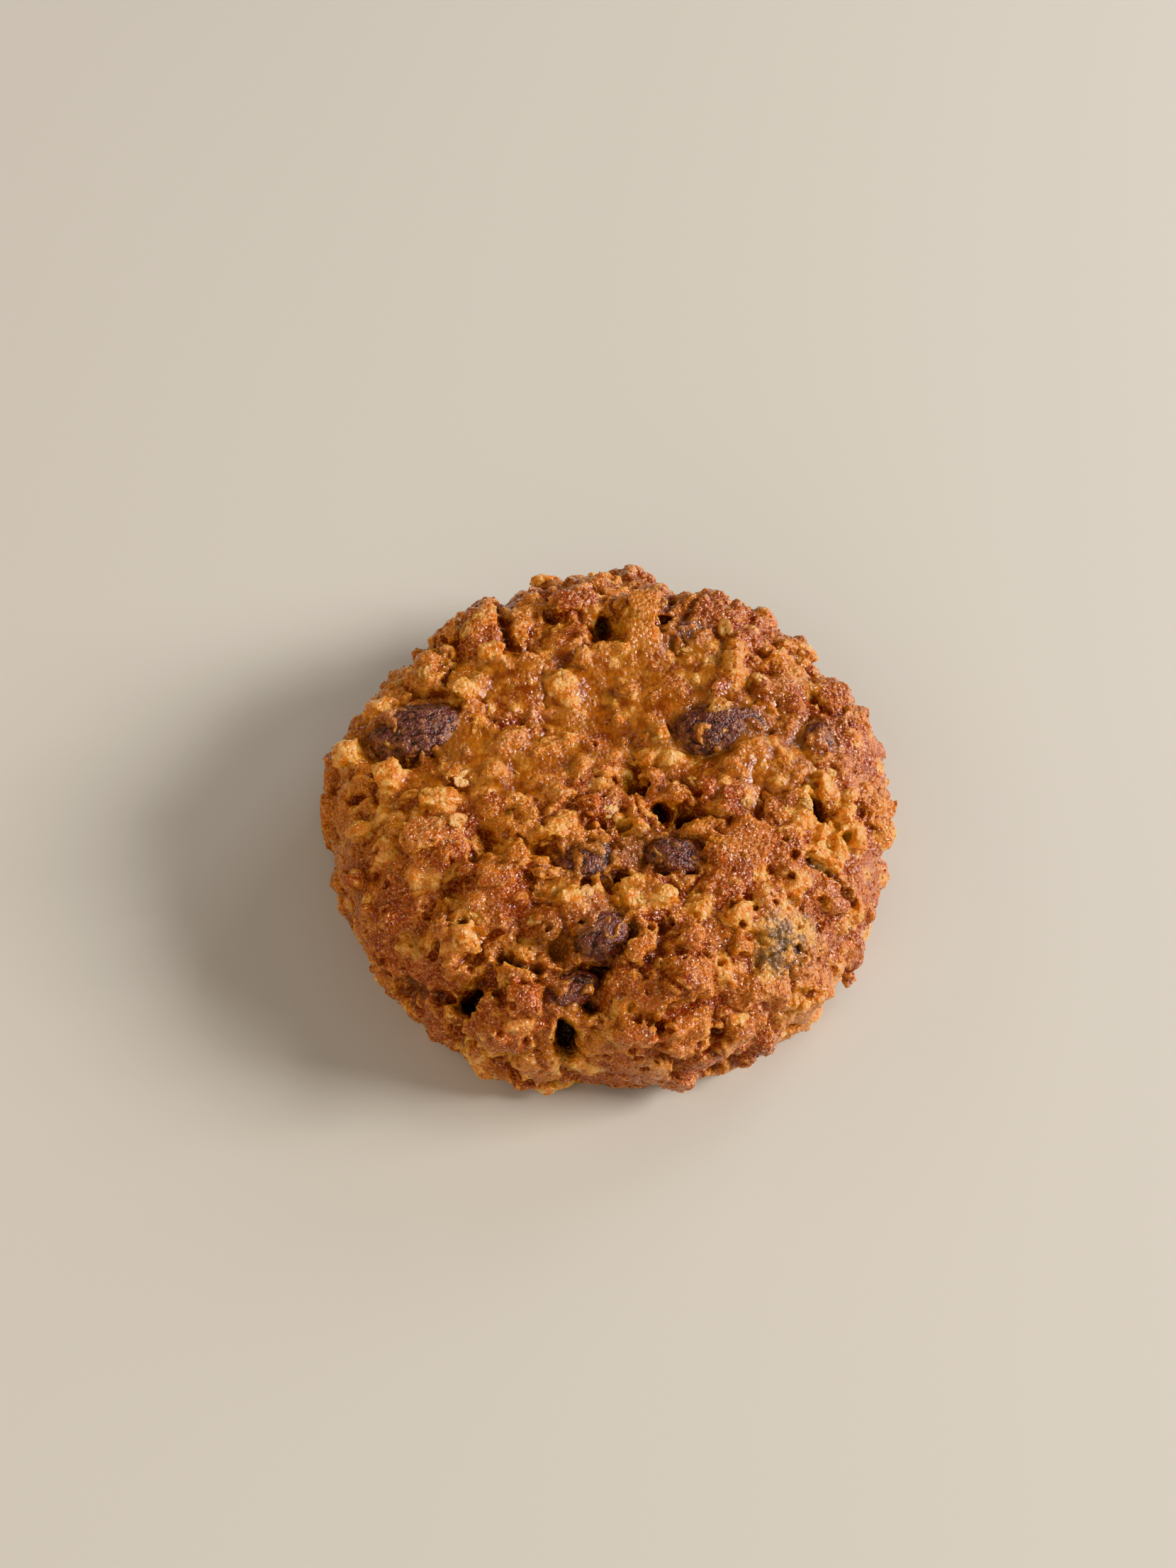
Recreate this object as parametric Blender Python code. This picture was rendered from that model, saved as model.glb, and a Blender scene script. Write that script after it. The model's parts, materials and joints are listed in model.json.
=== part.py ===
"""Oatmeal raisin cookie: a thick, hand-pressed dough disc with plump raisins set in its crust.

Frame: +Z up, origin at the middle of the flat base, -Y towards the cracked front edge.
Sizes in the constants are millimetres; MM turns them into Blender's metres.
"""

import bisect
import math

import bmesh
import bpy
from mathutils import Matrix, Quaternion, Vector, noise

MM = 0.001

# ---- Driving dimensions of the dough -------------------------------------------------
RADIUS = 39.0           # mean radius of the cookie at its widest
DEPTH_STRETCH = 1.03    # it is this much longer from front to back than from side to side
CREST_HEIGHT = 24.0     # height of the raised ring round the sunken middle
EQUATOR_HEIGHT = 8.0    # height at which the side is widest
SHOULDER_POWER = 2.7    # how squarely the top turns down into the side
DISH_DEPTH = 3.4        # how far the underbaked middle has sunk
DISH_RADIUS = 17.0      # reach of that hollow
BASE_TUCK = 0.07        # share of the radius by which the flat base is smaller
BASE_BEVEL = 1.1        # height over which the side rounds into the flat base

CAGE_CELLS = 23         # quads along each side of the cube that the dough is shaped from
SECTION_STEPS = 60      # steps in which the half section is measured
BASE_SHARE = 0.22       # the flat base gets this share of the faces its area would take

# ---- Irregular outline: angle in degrees, share of the radius, half width in degrees --
OUTLINE_LOBES = [
    (52, -0.054, 22),    # pressed flat at the back right
    (128, -0.046, 24),   # and at the back left
    (90, 0.022, 11),     # lump at the back
    (6, 0.020, 10),
    (176, 0.020, 9),
    (240, 0.026, 20),    # fuller front left
    (304, 0.020, 24),    # fuller front right
]
OUTLINE_NOTCHES = [
    (34, -0.052, 4.5),
    (78, -0.040, 4.0),
    (99, -0.040, 4.5),
    (115, -0.034, 3.5),
    (144, -0.062, 4.5),
    (155, -0.030, 4.0),
    (187, -0.044, 5.0),
    (203, -0.034, 6.0),
    (266, -0.022, 5.0),
    (322, -0.028, 4.5),
    (342, -0.028, 5.0),
    (354, -0.028, 4.0),
]

# ---- Main lumps of the crust: x, y, radius, height, all in mm -------------------------
CRUST_LUMPS = [
    (-25.0, -11.5, 6.0, 1.8),    # left front shoulder, three clumps
    (-33.0, -12.0, 4.5, 1.3),
    (-30.0, -21.0, 6.5, 1.2),
    (-14.0, -18.0, 5.0, 1.5),
    (-6.5, -10.0, 3.2, 1.5),     # inner ridge, left to right
    (-1.5, -5.0, 3.6, 1.3),
    (7.5, -4.5, 3.8, 1.3),
    (4.0, -21.0, 4.5, 1.2),
    (-5.0, -23.5, 4.2, 1.5),
    (20.0, -17.0, 9.0, 1.7),     # broad smooth dome on the right
    (6.0, -31.5, 5.0, 1.8),      # front clumps, split by the crack
    (13.0, -29.5, 5.0, 1.4),
    (-11.0, -34.5, 4.6, 1.5),
    (-20.0, -27.0, 5.0, 1.3),
    (26.0, -27.0, 5.0, 0.9),
    (-30.0, -2.5, 3.0, 1.7),     # pale nugget near the left raisin
    (-18.5, 23.0, 5.0, 1.6),     # back rim clumps
    (-27.0, 17.5, 4.0, 1.2),
    (-8.0, 28.0, 5.0, 1.7),
    (5.0, 25.5, 5.5, 2.0),
    (17.5, 20.5, 4.0, 1.6),
    (18.0, 28.0, 5.0, 1.2),
    (27.0, 20.0, 5.0, 1.3),
    (32.5, 9.0, 4.0, 1.3),
    (31.0, -4.0, 4.0, 1.0),
    (-34.0, 7.0, 3.5, 1.0),
]

# ---- Torn hollows between the lumps: x, y, radius, depth ------------------------------
TORN_HOLLOWS = [
    (-20.5, -32.5, 2.4, 2.6),    # the front crack, from left to right
    (-14.5, -28.5, 2.0, 1.8),
    (-3.5, -35.0, 2.4, 2.8),
    (-6.0, -38.5, 2.2, 3.0),
    (8.5, -8.0, 2.0, 2.2),
    (28.5, -8.0, 2.2, 2.4),
    (31.5, -15.5, 2.0, 1.8),
    (-8.5, 24.5, 2.0, 1.8),
    (-0.8, 23.0, 2.0, 2.0),
    (-20.0, -19.5, 2.2, 1.4),
    (12.5, -36.0, 2.0, 1.6),
    (-5.0, -33.0, 4.2, 1.6),     # the crust opens over the three sunk raisins
    (28.8, 5.6, 3.0, 1.6),
    (11.3, 23.0, 4.0, 2.4),
]

ROUGHNESS_COARSE = (0.9, 8.0)    # height and size of the hand-shaped unevenness
ROUGHNESS_FINE = (0.7, 4.2)      # height and size of the oat clumps
SIDE_ROUGHNESS = 1.5             # the side is this much rougher than the top
BASE_CALM = 4.0                  # height over which that fades out towards the flat base
OUTLINE_FADE = 1.5
NOISE_OFFSET = Vector((3.7, 11.2, 5.4))

# ---- Raisins: x, y, rise of the centre out of the crust, length, width, height, then
# ---- the turn of the length from +X, in degrees. Each lies along the slope of the crust.
RAISINS = {
    "raisin_left": (-26.5, 5.8, -1.0, 13.6, 9.4, 6.4, 6),
    "raisin_right": (14.8, 5.8, -1.4, 13.8, 8.2, 5.8, 8),
    "raisin_middle_left": (-2.6, -15.2, -1.5, 9.2, 6.4, 5.0, 12),
    "raisin_middle_right": (8.8, -14.2, -1.6, 9.6, 6.0, 5.0, -4),
    "raisin_front": (-0.9, -26.6, -0.8, 8.0, 6.6, 5.4, 30),
    "raisin_in_crack": (-5.4, -33.3, -2.5, 9.0, 4.8, 4.2, 12),
    "raisin_veiled": (23.8, -26.2, -1.7, 9.0, 7.4, 4.8, 40),
    "raisin_edge": (28.8, 5.6, -1.3, 5.6, 4.4, 4.0, 60),
    "raisin_back": (11.3, 23.0, -1.8, 7.6, 6.0, 4.6, 20),
}
RAISIN_SEGMENTS = 16
RAISIN_RINGS = 7
RAISIN_FOLD_DEPTH = 0.055        # share of the raisin's size
RAISIN_FOLDS = 5
RAISIN_REACH = 5.0               # length of crust over which a raisin's lie is taken
POCKET_GAP = 0.35                # clearance between a raisin and its pocket
POCKET_FLARE = 1.02
POCKET_OPENING = 1.9             # the pocket's upper half is this much taller, so it opens
                                 # through the crust and leaves no loose chips of dough

DOUGH_COLOUR = (0.30, 0.090, 0.020, 1.0)
RAISIN_COLOUR = (0.028, 0.009, 0.010, 1.0)


# ---- Scene -----------------------------------------------------------------------------
def clear_scene():
    for existing in list(bpy.data.objects):
        bpy.data.objects.remove(existing)


def new_collection(name):
    collection = bpy.data.collections.new(name)
    bpy.context.scene.collection.children.link(collection)
    return collection


def principled(name, colour, roughness):
    material = bpy.data.materials.new(name)
    material.use_nodes = True
    shader = material.node_tree.nodes["Principled BSDF"]
    shader.inputs["Base Color"].default_value = colour
    shader.inputs["Roughness"].default_value = roughness
    shader.inputs["Metallic"].default_value = 0.0
    return material


# ---- The dough's surface as functions of the place, in mm ----------------------------
def angle_gap(a, b):
    """Smallest difference between two directions, in degrees."""
    return abs((a - b + 180.0) % 360.0 - 180.0)


def outline(direction):
    """Share of the mean radius that the cookie reaches in a direction, in degrees."""
    share = 1.0
    for angle, amount, half_width in OUTLINE_LOBES + OUTLINE_NOTCHES:
        share += amount * math.exp(-((angle_gap(direction, angle) / half_width) ** 2))
    return share


def dome_height(ring):
    """Height of the smooth top at a share of the radius, from 0 in the middle to 1."""
    rise = CREST_HEIGHT - EQUATOR_HEIGHT
    crown = rise * max(0.0, 1.0 - ring**SHOULDER_POWER) ** (1.0 / SHOULDER_POWER)
    dish = DISH_DEPTH * math.exp(-((ring * RADIUS / DISH_RADIUS) ** 2))
    return EQUATOR_HEIGHT + crown - dish


def roughness(point):
    """Unevenness of the crust at a point in mm."""
    total = 0.0
    for height, size in (ROUGHNESS_COARSE, ROUGHNESS_FINE):
        total += height * noise.noise(point / size + NOISE_OFFSET)
    return total


def crust_relief(x, y):
    """Height that the lumps and the torn hollows add at a place on the top."""
    relief = 0.0
    for lump_x, lump_y, radius, height in CRUST_LUMPS:
        near = math.hypot(x - lump_x, y - lump_y) / radius
        relief = max(relief, height * math.exp(-(near**4)))
    for hollow_x, hollow_y, radius, depth in TORN_HOLLOWS:
        near = math.hypot(x - hollow_x, y - hollow_y) / radius
        relief -= depth * math.exp(-(near**2))
    return relief


def smooth_height(x, y):
    """Height of the top at a place in mm, without its lumps and hollows."""
    direction = math.degrees(math.atan2(y / DEPTH_STRETCH, x))
    ring = math.hypot(x, y / DEPTH_STRETCH) / (RADIUS * outline(direction))
    return dome_height(min(ring, 0.98))


# ---- Dough ----------------------------------------------------------------------------
def dough_section():
    """Half section from the top's middle, over the shoulder and down to the base's middle."""
    points = []
    for step in range(SECTION_STEPS + 1):
        # Steps close up towards the shoulder, where the section turns most.
        ring = math.sin(0.5 * math.pi * step / SECTION_STEPS)
        points.append(Vector((ring * RADIUS, dome_height(ring))))
    for step in range(1, SECTION_STEPS + 1):
        down = step / SECTION_STEPS
        height = EQUATOR_HEIGHT + (BASE_BEVEL - EQUATOR_HEIGHT) * down
        points.append(Vector((RADIUS * (1.0 - BASE_TUCK * 0.6 * down**2), height)))
    points.append(Vector((RADIUS * (1.0 - BASE_TUCK), 0.0)))
    points.append(Vector((0.0, 0.0)))
    return points


def section_areas(points):
    """Area turned by the section up to each of its points, as a share of the whole."""
    areas = [0.0]
    for before, after in zip(points, points[1:]):
        band = math.pi * (before.x + after.x) * (after - before).length
        flat = before.y == 0.0 and after.y == 0.0
        areas.append(areas[-1] + band * (BASE_SHARE if flat else 1.0))
    return [area / areas[-1] for area in areas]


def section_point(points, areas, share):
    """The section's point that has a share of the turned area above it."""
    after = min(bisect.bisect_left(areas, share), len(areas) - 1)
    if after == 0:
        return points[0]
    part = (share - areas[after - 1]) / (areas[after] - areas[after - 1])
    return points[after - 1].lerp(points[after], part)


def shaped(ring_point, direction):
    """Where a point of the section goes when it is turned to a direction and baked."""
    reach = outline(math.degrees(math.atan2(direction.y, direction.x)))
    ring = ring_point.x / RADIUS
    # The outline's lobes and notches fade out towards the middle of the cookie.
    reach = 1.0 + (reach - 1.0) * ring**OUTLINE_FADE
    x = direction.x * ring_point.x * reach
    y = direction.y * ring_point.x * reach * DEPTH_STRETCH
    height = ring_point.y
    rough = roughness(Vector((x, y, height)))
    if height > EQUATOR_HEIGHT:
        # The relief stands upright on the top and leans outwards on the shoulder.
        lean = ring**6
        lift = rough + crust_relief(x, y) * (1.0 - 0.5 * lean)
        height += lift * (1.0 - 0.55 * lean)
        x += direction.x * lift * lean
        y += direction.y * lift * lean
    elif height > 0.0:
        out = SIDE_ROUGHNESS * rough * min(1.0, height / BASE_CALM)
        x += direction.x * out
        y += direction.y * out
    return Vector((x, y, height)) * MM


def dough_mesh(name):
    """A finely divided cube, blown up to a sphere and drawn down onto the dough's section."""
    cage = bmesh.new()
    bmesh.ops.create_cube(cage, size=2.0)
    bmesh.ops.subdivide_edges(
        cage, edges=cage.edges, cuts=CAGE_CELLS - 1, use_grid_fill=True
    )
    points = dough_section()
    areas = section_areas(points)
    for vert in cage.verts:
        # The tangent evens out the cells that a cube's faces make on a sphere.
        even = Vector([math.tan(0.25 * math.pi * value) for value in vert.co]).normalized()
        flat = Vector((even.x, even.y))
        direction = flat.normalized() if flat.length > 1e-6 else Vector((1.0, 0.0))
        share = 0.5 * (1.0 - even.z)
        vert.co = shaped(section_point(points, areas, share), direction)
    mesh = bpy.data.meshes.new(name)
    cage.to_mesh(mesh)
    cage.free()
    return mesh


def make_dough(collection, material):
    mesh = dough_mesh("cookie")
    mesh.materials.append(material)
    mesh.shade_smooth()
    mesh.set_sharp_from_angle(angle=math.radians(50))
    dough = bpy.data.objects.new("cookie", mesh)
    collection.objects.link(dough)
    return dough


# ---- Raisins --------------------------------------------------------------------------
def raisin_mesh(name, length, width, height, seed, swell=0.0, opening=1.0):
    """A shrivelled ellipsoid: lengthwise folds whose depth fades at the two ends."""
    cage = bmesh.new()
    bmesh.ops.create_uvsphere(
        cage, u_segments=RAISIN_SEGMENTS, v_segments=RAISIN_RINGS, radius=0.5
    )
    # The sphere's poles become the raisin's two ends.
    bmesh.ops.rotate(cage, verts=cage.verts, matrix=Matrix.Rotation(math.pi / 2, 3, "Y"))
    for vert in cage.verts:
        around = math.atan2(vert.co.z, vert.co.y)
        along = 2.0 * vert.co.x
        fade = max(0.0, 1.0 - along * along)
        fold = math.sin(RAISIN_FOLDS * around + 2.2 * along + seed)
        girth = 1.0 + RAISIN_FOLD_DEPTH * fade * fold
        bend = 0.06 * (along * along - 0.3)
        vert.co.x *= length + swell
        vert.co.y = (vert.co.y * girth + bend) * (width + swell)
        upper = opening if vert.co.z > 0.0 else 1.0
        vert.co.z = vert.co.z * girth * upper * (height + swell)
    bmesh.ops.scale(cage, verts=cage.verts, vec=(MM, MM, MM))
    mesh = bpy.data.meshes.new(name)
    cage.to_mesh(mesh)
    cage.free()
    mesh.shade_smooth()
    return mesh


def crust_normal(x, y):
    """Direction straight out of the smooth top, from its slope over a raisin's width."""
    reach = 0.5 * RAISIN_REACH
    slope_x = (smooth_height(x + reach, y) - smooth_height(x - reach, y)) / RAISIN_REACH
    slope_y = (smooth_height(x, y + reach) - smooth_height(x, y - reach)) / RAISIN_REACH
    return Vector((-slope_x, -slope_y, 1.0)).normalized()


def place_raisin(raisin, x, y, rise, turn):
    normal = crust_normal(x, y)
    surface = Vector((x, y, smooth_height(x, y)))
    raisin.location = (surface + rise * normal) * MM
    raisin.rotation_mode = "QUATERNION"
    lie = Vector((0.0, 0.0, 1.0)).rotation_difference(normal)
    raisin.rotation_quaternion = lie @ Quaternion((0.0, 0.0, 1.0), math.radians(turn))


def make_raisins(dough, parts, cutters, material):
    for seed, (name, sizes) in enumerate(RAISINS.items()):
        x, y, rise, length, width, height, turn = sizes
        raisin = bpy.data.objects.new(
            name, raisin_mesh(name, length, width, height, seed)
        )
        raisin.data.materials.append(material)
        parts.objects.link(raisin)
        place_raisin(raisin, x, y, rise, turn)

        pocket_name = name.replace("raisin", "pocket")
        pocket_size = (length * POCKET_FLARE, width * POCKET_FLARE, height)
        pocket = bpy.data.objects.new(
            pocket_name,
            raisin_mesh(pocket_name, *pocket_size, seed, 2.0 * POCKET_GAP, POCKET_OPENING),
        )
        cutters.objects.link(pocket)
        place_raisin(pocket, x, y, rise, turn)
        pocket.hide_render = True
        pocket.display_type = "WIRE"

        cut = dough.modifiers.new(pocket_name, "BOOLEAN")
        cut.operation = "DIFFERENCE"
        cut.solver = "EXACT"
        cut.object = pocket


def main():
    clear_scene()
    parts = new_collection("Oatmeal raisin cookie")
    cutters = new_collection("Raisin pockets")
    dough = make_dough(parts, principled("Baked oat dough", DOUGH_COLOUR, 0.6))
    make_raisins(dough, parts, cutters, principled("Raisin skin", RAISIN_COLOUR, 0.4))


main()
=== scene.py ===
# %% [markdown]
# # An oatmeal raisin cookie
# A home-baked oatmeal cookie is rolled oats and raisins held together by a little sugary dough.
# Seen close up it has almost no smooth skin: it is a heap of crumbly clumps with dark cracks between
# them, toasted redder where it stood proud in the oven, and wet and glassy in the sunken middle where
# the sugar has pooled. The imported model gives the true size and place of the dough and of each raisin.
# This script dresses it: real crumbs and oats are grown on the dough, fused to one skin, carved,
# painted with attributes, and given procedural materials.

import json
import math

import bmesh
import bpy
import numpy as np
from mathutils import Euler, Matrix, Vector, noise
from mathutils.bvhtree import BVHTree
from mathutils.kdtree import KDTree

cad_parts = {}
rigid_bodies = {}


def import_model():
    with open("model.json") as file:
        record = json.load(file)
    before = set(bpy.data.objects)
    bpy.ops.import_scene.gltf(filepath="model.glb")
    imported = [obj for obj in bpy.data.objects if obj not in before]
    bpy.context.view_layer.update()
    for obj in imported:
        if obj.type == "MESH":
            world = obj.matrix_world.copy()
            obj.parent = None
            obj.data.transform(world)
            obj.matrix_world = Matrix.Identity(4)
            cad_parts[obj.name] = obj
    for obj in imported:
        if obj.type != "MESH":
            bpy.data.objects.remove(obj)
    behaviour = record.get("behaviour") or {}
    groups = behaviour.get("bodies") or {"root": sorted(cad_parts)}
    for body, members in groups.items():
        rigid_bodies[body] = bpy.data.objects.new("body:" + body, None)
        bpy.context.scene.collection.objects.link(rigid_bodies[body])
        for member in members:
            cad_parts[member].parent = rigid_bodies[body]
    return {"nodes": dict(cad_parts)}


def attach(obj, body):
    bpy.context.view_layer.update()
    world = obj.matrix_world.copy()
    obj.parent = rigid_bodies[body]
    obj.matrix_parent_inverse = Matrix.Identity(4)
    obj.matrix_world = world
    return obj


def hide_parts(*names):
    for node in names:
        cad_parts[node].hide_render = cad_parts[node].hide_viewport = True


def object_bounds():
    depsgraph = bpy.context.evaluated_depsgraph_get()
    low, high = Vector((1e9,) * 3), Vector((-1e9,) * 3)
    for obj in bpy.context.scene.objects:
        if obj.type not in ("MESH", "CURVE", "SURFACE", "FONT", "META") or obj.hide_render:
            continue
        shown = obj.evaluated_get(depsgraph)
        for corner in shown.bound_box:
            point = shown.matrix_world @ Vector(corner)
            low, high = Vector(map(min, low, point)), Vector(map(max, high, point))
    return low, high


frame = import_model()
cad_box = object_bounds()
MM = 0.001
print("CAD box in mm:", [[round(value / MM, 1) for value in corner] for corner in cad_box])

# %% [markdown]
# ## Helpers
# Meshes hold their vertices in metres. Everything about a cookie is easier to think of in
# millimetres, so two helpers carry vertices to numpy rows in millimetres and back. Numbers that the
# materials need later, such as how toasted a spot is, are stored on the vertices as attributes.

# %% Helpers for meshes


def points_of(mesh):
    """The vertices of a mesh as rows of millimetres."""
    flat = np.empty(len(mesh.vertices) * 3, np.float32)
    mesh.vertices.foreach_get("co", flat)
    return flat.reshape(-1, 3).astype(float) / MM


def move_points(mesh, points):
    mesh.vertices.foreach_set("co", (points * MM).astype(np.float32).ravel())
    mesh.update()


def normals_of(mesh):
    flat = np.empty(len(mesh.vertices) * 3, np.float32)
    mesh.vertex_normals.foreach_get("vector", flat)
    return flat.reshape(-1, 3).astype(float)


def paint(mesh, name, values):
    """Store one number for each vertex under a name."""
    layer = mesh.attributes.get(name) or mesh.attributes.new(name, "FLOAT", "POINT")
    layer.data.foreach_set("value", np.asarray(values, np.float32))


def painted(mesh, name):
    values = np.empty(len(mesh.vertices), np.float32)
    mesh.attributes[name].data.foreach_get("value", values)
    return values


def new_object(name, data):
    """A new object in the scene with a mesh, a light or a camera."""
    thing = bpy.data.objects.new(name, data)
    bpy.context.scene.collection.objects.link(thing)
    return thing


def apply_modifiers(thing):
    """Turn what an object's modifiers make of it into its plain mesh."""
    graph = bpy.context.evaluated_depsgraph_get()
    made = bpy.data.meshes.new_from_object(thing.evaluated_get(graph))
    thing.modifiers.clear()
    thing.data = made
    return thing


def mesh_of(work, name):
    """Turn a finished bmesh into a mesh."""
    mesh = bpy.data.meshes.new(name)
    work.to_mesh(mesh)
    work.free()
    return mesh


def merged(name, things):
    """One new object with the meshes of several, which are removed."""
    joined = bmesh.new()
    for thing in things:
        joined.from_mesh(thing.data)
        bpy.data.objects.remove(thing)
    return new_object(name, mesh_of(joined, name))


def smoothed(mesh, values, rounds):
    """Rows of numbers on the vertices, each averaged with its neighbours a number of times."""
    flat = np.empty(len(mesh.edges) * 2, np.int32)
    mesh.edges.foreach_get("vertices", flat)
    first, second = flat.reshape(-1, 2).T
    count = len(mesh.vertices)
    neighbours = np.bincount(first, minlength=count) + np.bincount(second, minlength=count)
    neighbours = np.maximum(neighbours, 1)
    values = np.array(values, float)
    for _ in range(rounds):
        for column in values.T:
            total = np.bincount(first, column[second], count)
            total += np.bincount(second, column[first], count)
            column[:] = 0.5 * column + 0.5 * total / neighbours
    return values


def field(points, size, seed):
    """Smooth noise between -1 and 1 at each point, with features of a size in mm."""
    shift = Vector((seed * 7.31, seed * 3.17, seed * 5.03))
    return np.array([noise.noise(Vector(p) / size + shift) for p in points])


def soft_discs(points, places):
    """How much each point lies in any of some discs seen from above: 1 inside, soft to 0."""
    mask = np.zeros(len(points))
    for x, y, radius in places:
        far = np.hypot(points[:, 0] - x, points[:, 1] - y) / radius
        mask = np.maximum(mask, np.exp(-(far**4)))
    return mask


def rising(values, start, over):
    """0 up to a start, 1 from a distance past it, and straight between."""
    return np.clip((values - start) / over, 0.0, 1.0)


def fading(values, reach):
    """1 at nothing, falling smoothly to almost 0 at twice a reach."""
    return np.exp(-((values / reach) ** 2))


# %% [markdown]
# Colours are written as the sRGB hex values that a picker shows. Blender's shaders work in linear
# light, so one function converts them. One more adds a node with its settings and its links, which
# keeps a node tree readable as text. The last runs a node group as a modifier: it sets the group's
# inputs by the identifiers of their sockets, which is what a modifier knows them by.

# %% Helpers for colours and node trees


def linear(code):
    """Linear RGBA of an sRGB hex value such as "#a8602a"."""
    parts = [int(code[i : i + 2], 16) / 255 for i in (1, 3, 5)]
    return [p / 12.92 if p <= 0.04045 else ((p + 0.055) / 1.055) ** 2.4 for p in parts] + [1.0]


def add(tree, kind, feeds=None, **settings):
    """Add a node. feeds maps an input's name or number to a socket to link, a hex colour or a constant."""
    node = tree.nodes.new(kind)
    for name, value in settings.items():
        setattr(node, name, value)
    for key, value in (feeds or {}).items():
        if isinstance(value, bpy.types.NodeSocket):
            tree.links.new(value, node.inputs[key])
        elif isinstance(value, str) and value.startswith("#"):
            node.inputs[key].default_value = linear(value)
        else:
            node.inputs[key].default_value = value
    return node


def node_group(name, inputs, output):
    """A new Geometry Nodes tree with named inputs and one geometry output."""
    tree = bpy.data.node_groups.new(name, "GeometryNodeTree")
    for label, kind in inputs.items():
        tree.interface.new_socket(label, in_out="INPUT", socket_type="NodeSocket" + kind)
    tree.interface.new_socket(output, in_out="OUTPUT", socket_type="NodeSocketGeometry")
    return tree


def grow(thing, group, values):
    """Run a node group on an object with values for its named inputs, and keep what it makes."""
    modifier = thing.modifiers.new(group.name, "NODES")
    modifier.node_group = group
    for socket in group.interface.items_tree:
        if socket.in_out == "INPUT" and socket.name in values:
            modifier[socket.identifier] = values[socket.name]
    return apply_modifiers(thing)


# %% [markdown]
# ## Where things are
# The places below are read off the cookie in millimetres, from the middle of its base, with +X to
# the right and -Y towards the cracked front. They steer the crumbs, the carving and the browning.
# Noise alone could make a crust, but not this one: what stands out is placed one by one, and noise
# fills in the rest.

# %% The map of the crust
# Patches of the crust, seen from above: x, y, radius
TOASTED = [
    (-29, -20, 10), (-20, -22, 7), (21, -18, 10), (9, -29, 7), (-6, -27, 6), (-3, -7, 4), (-12, -35, 4),
    (-12, -20, 4), (12, -4, 4), (0, -5, 7), (6, -9, 5), (-22, 24, 5), (0, 0, 6), (-10, -35, 5), (-22, 5, 4),
    (3, -37, 5),
]
GOLDEN = [(28, -10, 5), (4, 23, 6), (-34, 2, 5), (-12, -3, 3), (24, -28, 5), (18, 17, 4), (28, 20, 6)]
CARAMEL = [
    (-2, 11, 9), (8, 13, 9), (20, 2, 8), (-14, 0, 7), (-12, 13, 6), (13, 0, 5), (-20, 3, 4), (-24, -3, 3),
]
SMOOTH = [
    (-29, -20, 9), (-34, -9, 5), (-25, -28, 6), (22, -17, 9), (-2, 8, 10), (13, -28, 7), (-10.5, -35, 4),
    (2, -37, 5), (-14, -21, 4), (36, -14, 6), (36, 5, 6),
]
STAINED = [(4.0, -13.8, 3.4), (0.0, -14.6, 2.4), (7.0, -14.0, 2.4), (-7.0, -27.0, 2.8), (-21.0, 1.6, 2.5)]
VEILED = [(22.3, -25.6, 3.0), (25.0, -24.2, 2.3), (20.8, -28.4, 2.1)]

# Dark holes and slits: x, y, half length, half width, turn in degrees, depth
HOLES = [
    (-0.5, 24.2, 0.8, 1.4, 0, 2.4), (-8.2, 25.4, 0.8, 0.8, 0, 1.6), (-13.4, 20.0, 0.9, 0.5, 0, 1.4),
    (4.2, -3.3, 1.3, 0.9, -10, 2.4), (7.4, -7.2, 1.3, 0.7, -15, 3.2), (10.0, -8.0, 1.1, 0.7, 10, 2.8),
    (2.0, -10.0, 0.9, 0.6, 0, 1.5), (28.2, -6.2, 0.6, 1.7, 25, 3.0), (31.8, -9.6, 0.8, 0.4, 30, 1.6),
    (30.0, -15.6, 1.4, 0.6, -40, 2.4), (-18.4, -33.2, 1.5, 1.1, 20, 4.2), (-13.6, -28.8, 1.2, 0.7, 0, 2.8),
    (-1.6, -31.2, 2.0, 0.7, 15, 2.6), (-2.4, -34.6, 1.2, 0.8, 0, 2.6), (-5.4, -37.6, 1.3, 1.2, 0, 4.4),
    (-19.0, -24.4, 0.9, 0.8, 0, 1.8), (-22.6, -27.0, 0.6, 0.6, 0, 1.6), (1.6, -17.6, 1.2, 0.5, -10, 1.6),
    (10.6, -17.2, 0.9, 0.5, 0, 1.4), (2.6, -26.5, 0.8, 1.8, -20, 1.8), (6.8, -28.6, 0.5, 1.9, 5, 1.6),
    (-17.6, -14.5, 0.5, 1.6, 10, 1.2), (-34.0, -3.2, 1.5, 0.5, 0, 1.4), (14.0, -37.0, 0.9, 0.5, 20, 1.6),
    (24.0, -20.8, 0.8, 0.5, 0, 1.2), (-31.0, -13.0, 0.5, 0.5, 0, 1.0), (33.5, 8.0, 0.6, 1.0, 0, 1.6),
    (-28.0, -28.0, 0.7, 0.4, 0, 1.2),
]

# Cracks: the points that each one passes through
CRACKS = [
    [(-27, -28.5), (-23, -31.5), (-18.5, -33), (-16, -31), (-13.6, -28.8), (-10, -30.5), (-6, -31.5),
     (-2, -31), (1, -29.5)],
    [(1, -29.5), (2.6, -26.5), (4.5, -24.5), (7, -25)],
    [(-5.4, -37.6), (-5.8, -40)],
    [(27, -14.5), (30, -15.6), (32.5, -18)],
    [(5, -31), (6.8, -28.6), (7, -25)],
    [(-16, 29), (-14.5, 25), (-13.4, 20)],
    [(9, 30), (8.5, 26), (7.5, 22.5)],
]

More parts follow.
